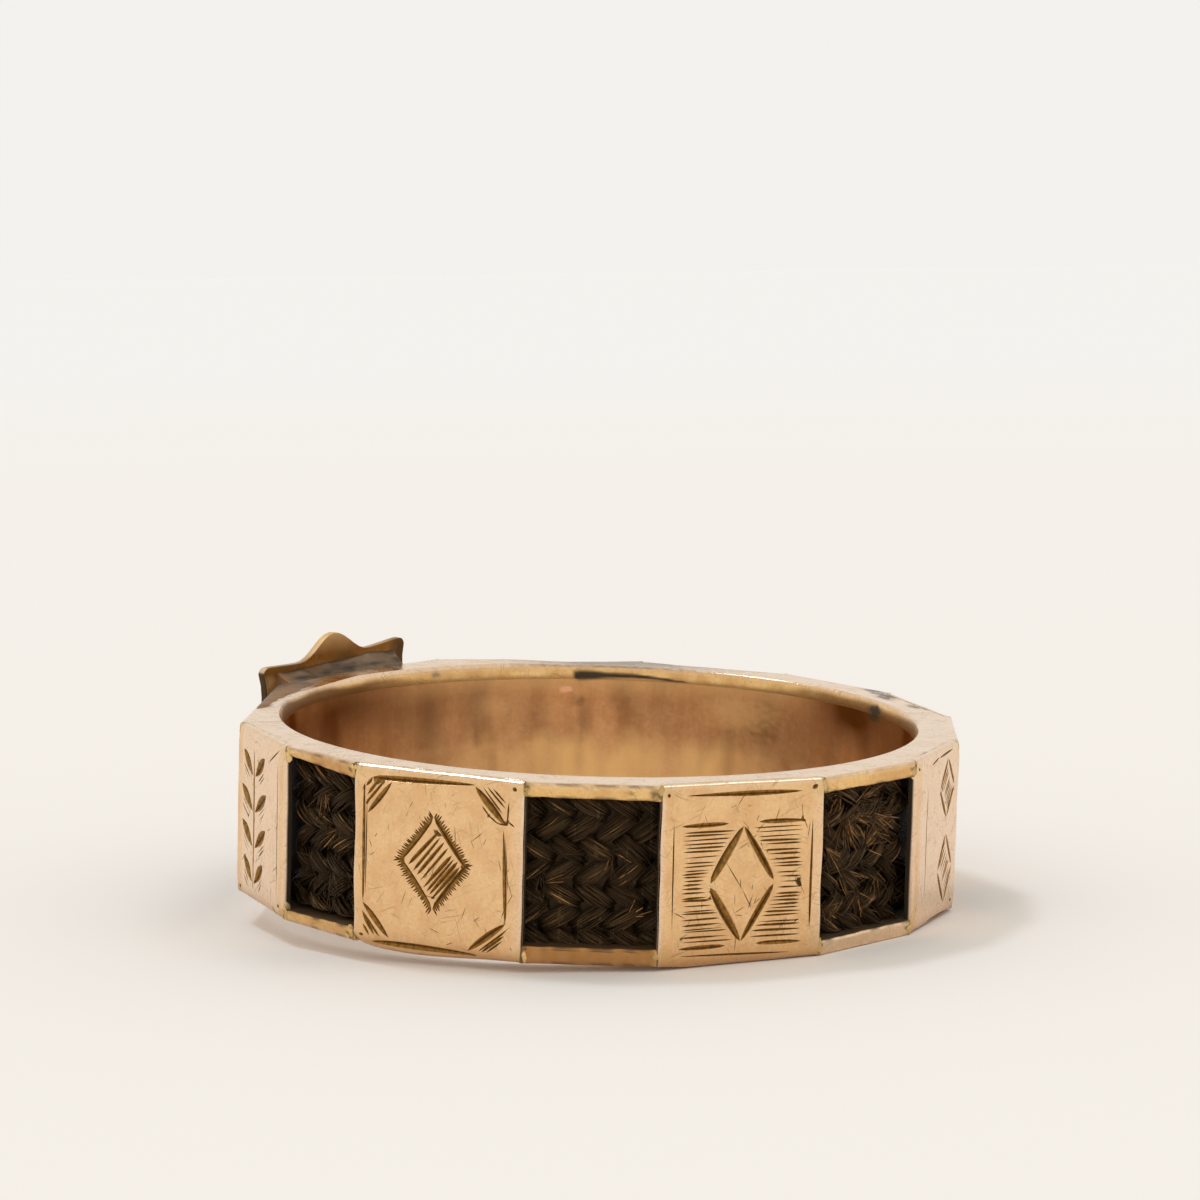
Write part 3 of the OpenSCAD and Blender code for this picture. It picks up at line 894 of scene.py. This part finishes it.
def border_lines(g):
    """Frame of tapered lines with cut-off corners, each corner filled by hatching."""
    for line in (
            (-1.98, 2.11, 1.1, 2.2, 0.17, 0.35, 0.5, -0.4), (-2.2, 1.9, -2.19, -1.3, 0.1, 0.5, 0.4, 0.3),
            (-2.11, 1.5, -2.12, -1.1, 0.04), (2.07, 1.9, 2.03, 1.22, 0.06),
            (1.93, 1.12, 2.03, -1.4, 0.13, 0.6, 0.5, 0.4), (1.99, 0.9, 2.09, -0.6, 0.03),
            (-1.95, -2.36, 1.25, -2.36, 0.19, 0.4, 0.6, 0.4), (-1.37, 2.04, -2.1, 1.12, 0.17, 0.5, 0.6, 0.4),
            (1.06, 2.17, 1.98, 1.22, 0.24, 0.5, 0.6, 0.3), (-2.2, -1.3, -1.4, -2.22, 0.19, 0.5, 0.6, 0.4),
            (2.05, -1.4, 0.92, -2.28, 0.21, 0.5, 0.6, -0.3)):
        g.cut(*line)
    g.hatch([(-1.57, 2.06, -2.13, 1.36), (-1.76, 2.06, -2.13, 1.6), (-1.95, 2.06, -2.13, 1.84),
             (1.27, 2.19, 1.94, 1.48), (1.41, 2.2, 1.98, 1.62), (1.54, 2.2, 2.0, 1.78),
             (-2.2, -1.62, -1.8, -2.22), (-2.2, -1.86, -1.98, -2.2), (-2.2, -1.5, -1.66, -2.22),
             (2.04, -1.6, 1.2, -2.27), (1.97, -1.83, 1.41, -2.27), (2.0, -1.7, 1.3, -2.27)], 0.085, 0.4)
    for line in ((1.28, 1.68, 1.5, 1.43), (1.48, 1.45, 1.76, 1.24), (1.74, 1.25, 2.06, 1.23),
                 (2.05, 1.33, 2.26, 1.2)):
        g.cut(*line, 0.055)


def hatched(g, corners, slant, spacing, width, margin, taper):
    """Fills a convex outline with straight fine cuts at this angle, uneven as by hand."""
    along = np.array([cos(radians(slant)), sin(radians(slant))])
    aside = np.array([-along[1], along[0]])
    offsets = [float(np.dot(c, aside)) for c in corners]
    at = min(offsets) + spacing * 0.7
    lines = []
    while at < max(offsets) - spacing * 0.5:
        ends = []
        for (p, q), (d0, d1) in zip(sides(corners), sides(offsets)):
            if (d0 > at) != (d1 > at):
                ends.append(np.array(p) + (np.array(q) - np.array(p)) * (at - d0) / (d1 - d0))
        ends.sort(key=lambda end: float(end @ along))
        if len(ends) == 2 and np.linalg.norm(ends[1] - ends[0]) > 3 * margin:
            lines.append((*(ends[0] + margin * along), *(ends[1] - margin * along)))
        at += spacing * g.hand.uniform(0.75, 1.25)
    g.hatch(lines, width, taper)


def lozenge_corners(x, y, half_w, half_h):
    return [(x + half_w, y), (x, y + half_h), (x - half_w, y), (x, y - half_h)]


def lozenge_with_halo(g, x, y, half_w, half_h, halo):
    """A hatched lozenge in a ring of short radial flicks."""
    corners = lozenge_corners(x, y, half_w, half_h)
    for (x0, y0), (x1, y1) in sides(corners):
        side = hypot(x1 - x0, y1 - y0)
        nx, ny = (y1 - y0) / side, -(x1 - x0) / side
        start, past = halo * 0.3, 0.06
        g.cut(x0 + nx * start - (x1 - x0) * past, y0 + ny * start - (y1 - y0) * past,
              x1 + nx * start + (x1 - x0) * past, y1 + ny * start + (y1 - y0) * past,
              halo * 0.66, 0.5, 0.3, 0.5)
        flicks = int(side / 0.062)
        for i in range(-1, flicks + 1):
            t = (i + 0.5) / flicks + g.hand.uniform(-0.01, 0.01)
            px, py = x0 + (x1 - x0) * t, y0 + (y1 - y0) * t
            fan = (t - 0.5) * 0.7
            dx, dy = nx + fan * (x1 - x0) / side, ny + fan * (y1 - y0) / side
            reach = halo * g.hand.uniform(0.8, 1.2)
            g.cut(px + start * dx, py + start * dy, px + reach * dx, py + reach * dy, 0.06, 0.35)
    hatched(g, corners, 50, 0.152, 0.096, 0.05, 0.35)


def lozenge_in_hatching(g, middle, half_w, half_h, field_w):
    """A tall plain lozenge between four wide cuts, in a field of level hatching."""
    for side, width in ((-1, 0.26), (1, 0.21)):
        for up in (-1, 1):
            g.cut(0.0, middle + up * (half_h + 0.06), side * half_w, middle + up * 0.04, width, 0.55, 0.4,
                  0.45 * side * up)
        for up in (-1, 1):
            level = middle + up * (half_h + 0.14)
            g.cut(side * 0.42, level, side * field_w, level - 0.02, 0.14, 0.45, 0.5, 0.4)
        y = middle + half_h - 0.04
        lines = []
        while y > middle - half_h + 0.02:
            clear = half_w * (1 - abs(y - middle) / half_h) + 0.2
            lines.append((side * clear, y, side * (field_w - 0.06), y - 0.01))
            y -= g.hand.uniform(0.085, 0.15)
        g.hatch(lines, 0.055)


def leaf_spray(g, x, top, bottom, reach, pairs):
    """A stem with heavy leaves cut in pairs, longest in the middle, each beside two fine strokes."""
    g.cut(x, top + 0.1, x, bottom, 0.12, 0.45, 0.5, 0.3)
    for i in range(pairs):
        t = (i + 0.75) / pairs
        y = top + (bottom - top) * t
        length = reach * (0.7 + 0.3 * sin(pi * t))
        for side in (-1, 1):
            g.cut(x + side * 0.07, y, x + side * length, y + 0.66, 0.4, 0.55, 0.9, 0.35 * side)
            g.hatch([(x + side * (0.2 + 0.1 * k), y - 0.1 * k, x + side * (length * 0.95), y + 0.4 - 0.12 * k)
                     for k in range(1, 3)], 0.04)


def small_lozenge(g, x, y, half_w, half_h):
    """A hatched lozenge with a wide cut along each side."""
    corners = lozenge_corners(x, y, half_w, half_h)
    for start, end in sides(corners):
        g.cut(*start, *end, 0.15, 0.5, 0.4, 0.4)
    hatched(g, corners, 50, 0.14, 0.07, 0.14, 0.5)


def corner_marks(g, half_w):
    """Pits where the graver slipped at two of the corners."""
    corners = [(-half_w + 0.27, -2.2), (half_w - 0.35, -2.1), (half_w - 0.3, 2.2), (-half_w + 0.2, 2.16)]
    for x, y in g.hand.sample(corners, 2):
        turn, reach = g.hand.uniform(-0.3, 1.2), g.hand.uniform(0.05, 0.12)
        g.across(x, y, reach * cos(turn), reach * sin(turn), g.hand.uniform(0.1, 0.17))


panel_gold = worn_gold(
    "engraved panel gold", clean=(0.885, 0.575, 0.29, 1), tarnished=(0.80, 0.475, 0.225, 1),
    patch_size=1.3, amount=0.8, roughness=0.26, scratched=0.75,
    dirt=((0.075, 0.035, 0.010, 1), (0.36, 0.175, 0.034, 1)), stains=(
        ("solder", (0.70, 0.48, 0.19, 1), 0.85), ("brown", (0.40, 0.19, 0.07, 1), 0.9),
        ("soot", (0.03, 0.02, 0.012, 1), 0.0)))
fill(panel_gold.node_tree.nodes["Principled BSDF"], {"Specular IOR Level": 0.15})


def engrave(number, half_w):
    """The generic ornament of each panel, numbered from the left of the front."""
    g = Graver(40 + number)
    if number in (1, 4):
        border_lines(g)
        lozenge_with_halo(g, -0.12, -0.02, 0.86, 1.12, 0.27)
    elif number == 2:
        for line in ((-1.7, 2.13, 1.7, 2.11, 0.16, 0.6, 0.6, -0.3), (-2.0, 1.42, -1.98, -1.55, 0.045, 0.4),
                     (2.0, 1.38, 2.0, -1.6, 0.085, 0.6, 0.5, 0.3), (-1.8, -2.16, 1.5, -2.24, 0.07)):
            g.cut(*line)
        lozenge_in_hatching(g, -0.3, 0.92, 1.5, 1.8)
        for line in ((-0.48, 0.3, 0.02, -0.47), (0.01, -0.45, 0.3, -1.0), (-1.97, -0.95, -1.6, -1.15)):
            g.cut(*line, 0.028)
    elif number in (0, 5):
        g.cut(half_w - 0.5, 2.0, half_w - 0.48, -2.04, 0.06)
        leaf_spray(g, -0.5, 1.9, -2.15, 1.02, 4)
        g.cut(half_w - 0.4, 2.25, half_w - 1.2, 1.75, 0.06)
        g.cut(half_w - 0.95, -2.2, half_w - 0.55, -2.4, 0.05)
    else:
        g.cut(-0.87, 1.6, -0.88, -1.65, 0.06)
        small_lozenge(g, 0.82, 1.25, 0.62, 0.85)
        small_lozenge(g, 0.82, -1.05, 0.62, 1.0)
        g.cut(-0.5, -2.33, 1.4, -2.35, 0.08)
        g.cut(-0.6, 2.1, 0.1, 2.23, 0.06)
        g.cut(0.05, 2.2, 1.3, 2.28, 0.07)
    corner_marks(g, half_w)
    g.scratch(half_w - 0.2, 2.2, 44)
    return g


def panel_face(xy, seed):
    """The filed face: a soft bevel along the top and the bottom, and faint hand-made waves."""
    s = unit((np.abs(xy[:, 1]) - (band_half_h - margin_h)) / margin_h)
    return -margin_fall * s ** 1.6 + 0.009 * noise_at(xy[:, 0] * 0.7 + seed, xy[:, 1] * 0.7, 0)


# How much paler each panel is painted, palest on the two panels seen side-on at the left and right.
panel_paleness = (0.75, 0.12, 0.0, 0.85, 0.3, 0.2)
# The lower edge of some panels bows out, and the left corner of two is worn round: places and drops
bordered_bow = (-2.5, -2.44, -2.36, -2.24, -2.1, -1.6, -0.9, -0.2, 0.5, 1.4, 2.4), (
    -0.24, -0.12, -0.05, 0.02, 0.07, 0.14, 0.17, 0.16, 0.12, 0.05, 0.0)
slight_bow = (-2.35, -1.5, -0.5, 0.4, 2.2), (0.02, 0.07, 0.06, 0.04, 0.0)
lower_bow = {1: bordered_bow, 4: bordered_bow, 2: slight_bow}
for number, (centre, arc) in enumerate(PANELS):
    half_w, face_r = corner_r * sin(radians(arc / 2)), corner_r * cos(radians(arc / 2))
    graver = engrave(number, half_w)
    outline = soft_rectangle(half_w, band_half_h, 0.07, graver.hand)
    bow_u, bow = lower_bow.get(number, ((0, 1), (0, 0)))
    outline[:, 1] *= np.where(outline[:, 1] < 0, 1 + np.interp(outline[:, 0], bow_u, bow) / band_half_h, 1)
    local, faces, fields = engraved_plate(
        outline, graver.cuts, lambda xy: panel_face(xy, number * 9.3), panel_t, 0.17)
    right, up, out = local.T
    strips = unit((np.abs(right) - half_w + 0.42) / 0.12)
    warm_strip = (right < 0) | (number == 0)
    pale = panel_paleness[number] * (1 - 0.8 * strips * warm_strip)
    fields["rubbed"] = np.maximum.reduce([fields["rubbed"], np.where(warm_strip, 0.05, 0.42) * strips, pale])
    # Painted reflection: the bottom edge is painted browner, standing in for the shaded floor it mirrors.
    fields["brown"] = 0.55 * unit((-2.17 - up) / 0.2)
    # Painted shade: the side walls towards the windows are painted near black.
    fields["soot"] = 3.0 * ((out < -0.1) & (np.abs(right) > half_w - 0.06) & (
        up < band_half_h - top_rail_h) & (up > low_rail_h - band_half_h))
    flat = np.stack([right + number * 11.7 - np.sign(right) * out, up, 0 * up], -1)
    make_piece(f"panel_{number + 1}", across_facet(local, centre, face_r), faces, panel_gold, "rose_gold",
               "gold_band", sharp=16, solder=0.8 * corner_solder(centre + np.degrees(right / face_r), up),
               flat=flat, **fields)

# Cover plate and its base
# The cover plate is a thin scalloped gold plate, gone brown. It is soldered to a grey block that
# drops between the rails where the two ends of the braid meet.
plate_r = 10.6
plate_t = 0.3
plate_skew = radians(4)
corner_u, corner_z = 3.02, 3.02
lobe_u, lobe_z = 1.42, 3.64
dip_z = 2.94
corner_round = 0.22
end_dip, end_swell = 0.1, 0.15
end_z = corner_z - corner_round
end_dip_z = 0.82 * end_z
edge_steps, end_steps = 44, 16
plate_shift = 0.12
base_low_u, base_high_u = 2.8, 2.2
base_climb = 0.37
bay_r = rail_corner_r * cos(radians(bay_arc / 2))


def ease(t):
    return (1 - cos(pi * t)) / 2


def plate_top(u):
    """Upper edge of the cover plate: a lobe in the middle, a dip, and a raised corner."""
    into = max(0, abs(u) - (corner_u - corner_round))
    if abs(u) < lobe_u:
        return lobe_z - (lobe_z - dip_z) * ease(abs(u) / lobe_u)
    rise = (corner_z - dip_z) * ease((abs(u) - lobe_u) / (corner_u - lobe_u))
    return dip_z + rise - corner_round + sqrt(max(0, corner_round ** 2 - into ** 2))


def plate_end(z):
    """End edge of the cover plate: a dip below the corner and a swell at the middle."""
    if abs(z) < end_dip_z:
        return corner_u + end_swell - (end_swell + end_dip) * ease(abs(z) / end_dip_z)
    return corner_u - end_dip * (1 - ease((abs(z) - end_dip_z) / (end_z - end_dip_z)))


edge = [corner_u * sin(radians(90 - 180 * i / edge_steps)) for i in range(edge_steps + 1)]
end = [end_z * (1 - 2 * i / end_steps) for i in range(1, end_steps)]
half_outline = [(u, plate_top(u)) for u in edge] + [(-plate_end(z), z) for z in end]
plate_outline = np.array(half_outline + [(-u, -z) for u, z in half_outline])

plate_gold = worn_gold(
    "brown cover plate gold", clean=(0.32, 0.162, 0.044, 1), tarnished=(0.26, 0.118, 0.024, 1),
    patch_size=1.1, amount=0.9, roughness=0.25, scratched=0.2,
    dirt=((0.03, 0.017, 0.007, 1), (0.12, 0.07, 0.025, 1)), stains=(
        ("golden", (0.72, 0.48, 0.23, 1), 1.0), ("soot", (0.03, 0.018, 0.008, 1), 0.5)))
fill(plate_gold.node_tree.nodes["Principled BSDF"], {"Specular IOR Level": 0.15})
graver = Graver(77)
for side in (-1, 1):
    for up in (-1, 1):
        graver.cut(side * 2.6, up * 2.55, side * 0.9, up * 2.6, 0.1)
        graver.cut(side * 1.0, up * 2.62, 0.0, up * 3.2, 0.1)
    graver.cut(side * 2.65, 2.5, side * 2.7, -2.5, 0.09)
lozenge_with_halo(graver, 0, 0, 1.1, 1.3, 0.3)
graver.scratch(2.5, 2.4, 40)


def plate_face(xy):
    return 0.012 * noise_at(xy[:, 0] * 0.6 + 31, xy[:, 1] * 0.6, 0) - 0.012


def skewed(local):
    """Turned in the plate's own plane, so that the end at the left hangs lower."""
    turn = np.array([[cos(plate_skew), sin(plate_skew)], [-sin(plate_skew), cos(plate_skew)]])
    return np.concatenate([local[:, :2] @ turn.T, local[:, 2:]], 1) + np.array([plate_shift, 0, 0])


def oval(u, z, wide, tall):
    """Distance from a place on the plate, 1 at the edge of an oval of these half sizes."""
    return np.hypot((right - u) / wide, (high - z) / tall)


local, faces, fields = engraved_plate(plate_outline, graver.cuts, plate_face, plate_t, 0.2, back_seen=True)
right, high, out = local.T
behind, level = out < -0.2, np.abs(high)
cloud = noise_at(right * 1.3, high * 1.3, 2)
rim_gap = distance_inside(local[:, :2], plate_outline)
fields["rubbed"] = np.where(out < -0.1, 0, fields["rubbed"] * 0.7) * np.interp(right, (2.75, 2.95), (1, 0.2))
# Painted glints: bright pale spots on the edge of the lobe and at the left corner.
for painted_glint in ((0.85, 3.3, 0.5, 0.3), (2.95, 2.95, 0.2, 0.16), (0.55, 3.5, 0.3, 0.2)):
    fields["rubbed"] = np.maximum(fields["rubbed"], unit(2 - 2 * oval(*painted_glint)) * (rim_gap < 0.03))
worn_edge = unit(1 - rim_gap / 0.04) * np.interp(right, (2.75, 2.95), (1, 0.15))
# The back of the plate in the hollow at its left end is painted golden, painted light against the shade
# there.
hollow = behind * (rim_gap > 0.03) * (right > 2.3) * (level < 2.75)
fields["golden"] = np.maximum(
    unit((level - 3.02) / 0.6 + 0.3 * cloud) * 0.85 + np.where(behind, 0.25, 0.5) * worn_edge, 0.9 * hollow)
soot = np.clip(0.06 + 0.8 * cloud, 0, 0.4) * unit((3.3 - level) / 0.4)
# Behind the plate: a painted shadow low at the left end, and a dark patch high at the right end. The edge of
# the left end is dark.
soot = np.maximum(soot, behind * np.maximum(
    0.8 * unit(1 - oval(3.05, 1.7, 0.14, 0.6)), 0.75 * unit(1.3 - oval(-2.9, 2.6, 0.5, 0.7))))
fields["soot"] = np.maximum(soot * (1 - hollow), 0.85 * (rim_gap < 0.02) * (right > 2.86) * (level < 2.9))
make_piece("cover_plate", across_facet(skewed(local), cartouche_angle, plate_r + plate_t), faces, plate_gold,
           "cartouche_gold", "cartouche", sharp=20, flat=local + 90, **fields)


def base_block():
    """The soldered block behind the plate and its tongue between the rails, as lumpy boxes."""
    half, foot, top = band_half_h, bay_r + 0.03, band_half_h + base_climb
    block = [(foot, -half + 0.3), (bay_r + 0.2, -half), (plate_r, -top), (plate_r + 0.1, -top),
             (plate_r + 0.1, top), (plate_r, top), (bay_r + 0.2, half), (foot, half - 0.3)]
    tongue_low, tongue_top, steps = -1.93, 1.98, 57
    tongue = [(channel_floor_r, tongue_low), (plate_r, tongue_low), (plate_r, tongue_top),
              (channel_floor_r, tongue_top)]
    points, faces = np.empty((0, 3)), []
    for inset, section in ((0, block), (0.1, tongue)):
        r, z = divided(section, 0.09).T
        width = base_low_u + base_high_u - 2 * inset
        u = inset - base_high_u + width * np.arange(steps)[:, None] / (steps - 1)
        lump = 0.055 * noise_at(u * 1.3, z * 2.6, r * 3.0) + 0.02 * noise_at(u * 3.5, z * 5.0, r * 5.0)
        climb = unit((np.abs(z) - half) / base_climb)
        lower = climb * (u * tan(plate_skew) + 0.12 * unit(-u - 1.1) * (z > 0))
        box = np.stack([u + 0 * z, z + lump * 0.6 - lower, r - np.abs(lump)], -1).reshape(-1, 3)
        faces += [f[::-1] for f in tube_faces(steps, len(r), len(points), capped=True)]
        points = np.concatenate([points, box])
    return points, faces


solder_grey = worn_gold(
    "grey solder", clean=(0.215, 0.15, 0.097, 1), tarnished=(0.085, 0.062, 0.048, 1),
    patch_size=1.4, amount=0.85, roughness=0.38, scratched=0.1, stains=(
        ("tan", (0.31, 0.18, 0.095, 1), 0.95), ("soot", (0.026, 0.021, 0.019, 1), 0.5)))
local, faces = base_block()
right, high, _ = local.T
line_gap = np.abs(high - (2.53 - 0.03 * right)) + 0.05 * np.abs(np.sin(right * 3.0))
# The block's left end is painted tan, painted light against the shade on its end face.
make_piece("plate_base", across_facet(local, cartouche_angle, 0), faces, solder_grey, "cartouche_gold",
           "cartouche", sharp=50, flat=local @ np.array([(0.45, 0, 0), (0, 1.2, 0), (0, 1.2, 0)]),
           soot=0.85 * unit(1.5 - line_gap / 0.05) * (right < 2.7), tan=unit((right - 2.35) / 0.35))


def solder_skin():
    """Grey solder that has spread from the base over the rim: a thin lumpy sheet, closed below."""
    rows, columns, start, arc = 51, 15, 238, 34.5
    angles = np.linspace(start, start + arc, rows)
    outer_r = np.vectorize(facet_r)(angles) - 0.03
    inner_r = np.interp(angles, solder_angles, (9.97, 9.56, 9.44, 9.43, 9.48, 9.6, 9.9))
    inner_r = np.minimum(inner_r + 0.1 * noise_at(angles * 0.4, 0, 6), outer_r - 0.05)
    a, share = angles[:, None] + np.zeros(columns), np.arange(columns) / (columns - 1)
    r = inner_r[:, None] + (outer_r - inner_r)[:, None] * share
    body = np.sqrt(np.maximum(0, np.sin(pi * share) * np.sin(pi * (a - start) / arc)))
    lump = 0.045 + 0.04 * noise_at(a * 0.35, r * 3.0, 1)
    lump += 0.07 * np.exp(-((a - 268.5) / 1.8) ** 2 - ((r - 9.75) / 0.2) ** 2)
    points = np.concatenate([
        round_band(a, r, band_half_h - 0.02 + side * body * lump).reshape(-1, 3) for side in (1, 0)])
    count, grid, faces = rows * columns, np.arange(rows * columns).reshape(rows, columns), []
    for p in grid[:-1, :-1].ravel():
        quad = (p, p + 1, p + columns + 1, p + columns)
        faces += [quad[::-1], tuple(count + q for q in quad)]
    border = [*grid[0], *grid[1:, -1], *grid[-1, -2::-1], *grid[-2:0:-1, 0]]
    return points, faces + [(a, b, count + b, count + a) for a, b in sides(border)]


points, faces = solder_skin()
x, y, _ = points.T
turn = np.degrees(np.arctan2(x, -y)) % 360
make_piece("rim_solder", points, faces, solder_grey, "cartouche_gold", "cartouche", sharp=60, flat=points,
           tan=unit((turn - 238) / 14) * np.clip((10.25 - np.hypot(x, y)) / 0.3, 0.25, 1))

# Solder at the window corners
# Small beads of yellow solder hold each panel to the rails. They have run into the corners of
# the windows and set with a rough skin.
solder_yellow = worn_gold(
    "yellow solder", clean=(0.80, 0.56, 0.25, 1), tarnished=(0.42, 0.25, 0.07, 1),
    patch_size=3.0, amount=0.9, roughness=0.3, scratched=0.3)
drops = random.Random(5)
bead_rows, bead_columns = 8, 14
latitude = pi * np.arange(bead_rows)[:, None] / (bead_rows - 1)
turn = 2 * pi * np.arange(bead_columns) / bead_columns
points, faces = np.empty((0, 3)), []
for angle, way in [(edge_angle, way) for ends in WINDOWS for edge_angle, way in zip(ends, (1, -1))]:
    if abs(turn_from(angle, cartouche_angle)) < bay_arc / 2 + 1:
        continue
    for up in (-1, -1, 1, 1):
        wide, tall = drops.uniform(0.05, 0.12), drops.uniform(0.05, 0.14)
        middle = angle + way * degrees(drops.uniform(0.0, 0.14) / rail_corner_r)
        rail_h = top_rail_h if up > 0 else low_rail_h
        height = up * (band_half_h - rail_h + drops.uniform(0.03, 0.28))
        lump = 1 + 0.5 * noise_at(np.cos(turn) * 1.7 + angle, np.sin(turn) * 1.7, latitude)
        here = middle + np.degrees(wide * np.sin(latitude) * np.cos(turn) * lump / rail_corner_r)
        r = np.vectorize(facet_r)(here) + 0.028 * np.cos(latitude)
        bead = round_band(here, r, height + tall * np.sin(latitude) * np.sin(turn) * lump)
        faces += tube_faces(bead_rows, bead_columns, len(points))
        points = np.concatenate([points, bead.reshape(-1, 3)])
make_piece("solder_beads", points, faces, solder_yellow, "rose_gold", "gold_band", sharp=180, flat=points)

# Floor, backdrop and light
# Plain pale paper that runs far out under an even pale sky, dimmer and warmer overhead. The main
# lamp is high up at the left and behind, and a weaker and softer one is high up at the right.
floor_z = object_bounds()[0].z
floor_radii, around = (0.02, 0.05, 0.1, 0.3, 1.0, 4.0), 96
turns = [2 * pi * j / around for j in range(around)]
points = [(0, 0, floor_z)] + [(r * cos(t), r * sin(t), floor_z) for r in floor_radii for t in turns]
faces = [(0, 1 + j, 1 + (j + 1) % around) for j in range(around)]
faces += [f[::-1] for f in tube_faces(len(floor_radii), around, 1)]
paper_mesh = bpy.data.meshes.new("paper")
paper_mesh.from_pydata(points, [], faces)
paper, tree, shader = new_material("pale paper")
place = add_node(tree, "TexCoord", {}).outputs["Object"]
far = add_node(tree, "VectorMath", {0: place}, operation="LENGTH").outputs["Value"]
paper_colour = blended(stepped(far, 0.03, 0.5), (0.926, 0.910, 0.903, 1), (0.916, 0.935, 0.958, 1))
fill(shader, {"Roughness": 1.0, "Specular IOR Level": 0.0, "Base Color": paper_colour})
paper_mesh.materials.append(paper)
floor = bpy.data.objects.new("paper", paper_mesh)
bpy.context.scene.collection.objects.link(floor)

world = bpy.data.worlds.new("soft studio")
bpy.context.scene.world = world
world.use_nodes = True
tree = world.node_tree
direction = add_node(tree, "TexCoord", {}).outputs["Generated"]
upwards = add_node(tree, "SeparateXYZ", {0: direction}).outputs["Z"]
sky_colour, overhead_colour = (0.896, 0.887, 0.855, 1), (0.80, 0.735, 0.64, 1)
fill(tree.nodes["Background"], {"Color": blended(stepped(upwards, 0.12, 0.75), sky_colour, overhead_colour)})

for name, direction, angle, energy in (
        ("main lamp", (-0.36, 0.26, 0.90), 9, 0.55), ("fill lamp", (0.40, 0.10, 0.91), 22, 0.18)):
    lamp_data = bpy.data.lights.new(name, "SUN")
    lamp_data.angle = radians(angle)
    lamp_data.energy = energy
    lamp_data.color = (0.80, 0.90, 1.0)
    lamp = bpy.data.objects.new(name, lamp_data)
    lamp.location = direction
    lamp.rotation_euler = lamp.location.to_track_quat("Z", "Y").to_euler()
    bpy.context.scene.collection.objects.link(lamp)

camera_data = bpy.data.cameras.new("camera")
camera_data.lens = 103.92
camera_data.sensor_width = 36
camera_data.clip_start, camera_data.clip_end = 0.002, 5
camera = bpy.data.objects.new("camera", camera_data)
camera_pitch, camera_yaw, camera_roll = map(radians, (-5.677, 0.022, -0.840))
camera.matrix_world = Matrix.Translation(Vector((0.208, -99.551, 15.677)) * mm) @ (
    Matrix.Rotation(camera_yaw, 4, "Z") @ Matrix.Rotation(pi / 2 + camera_pitch, 4, "X")
    @ Matrix.Rotation(camera_roll, 4, "Z"))
bpy.context.scene.collection.objects.link(camera)
bpy.context.scene.camera = camera
bpy.context.scene.view_settings.view_transform = "Standard"
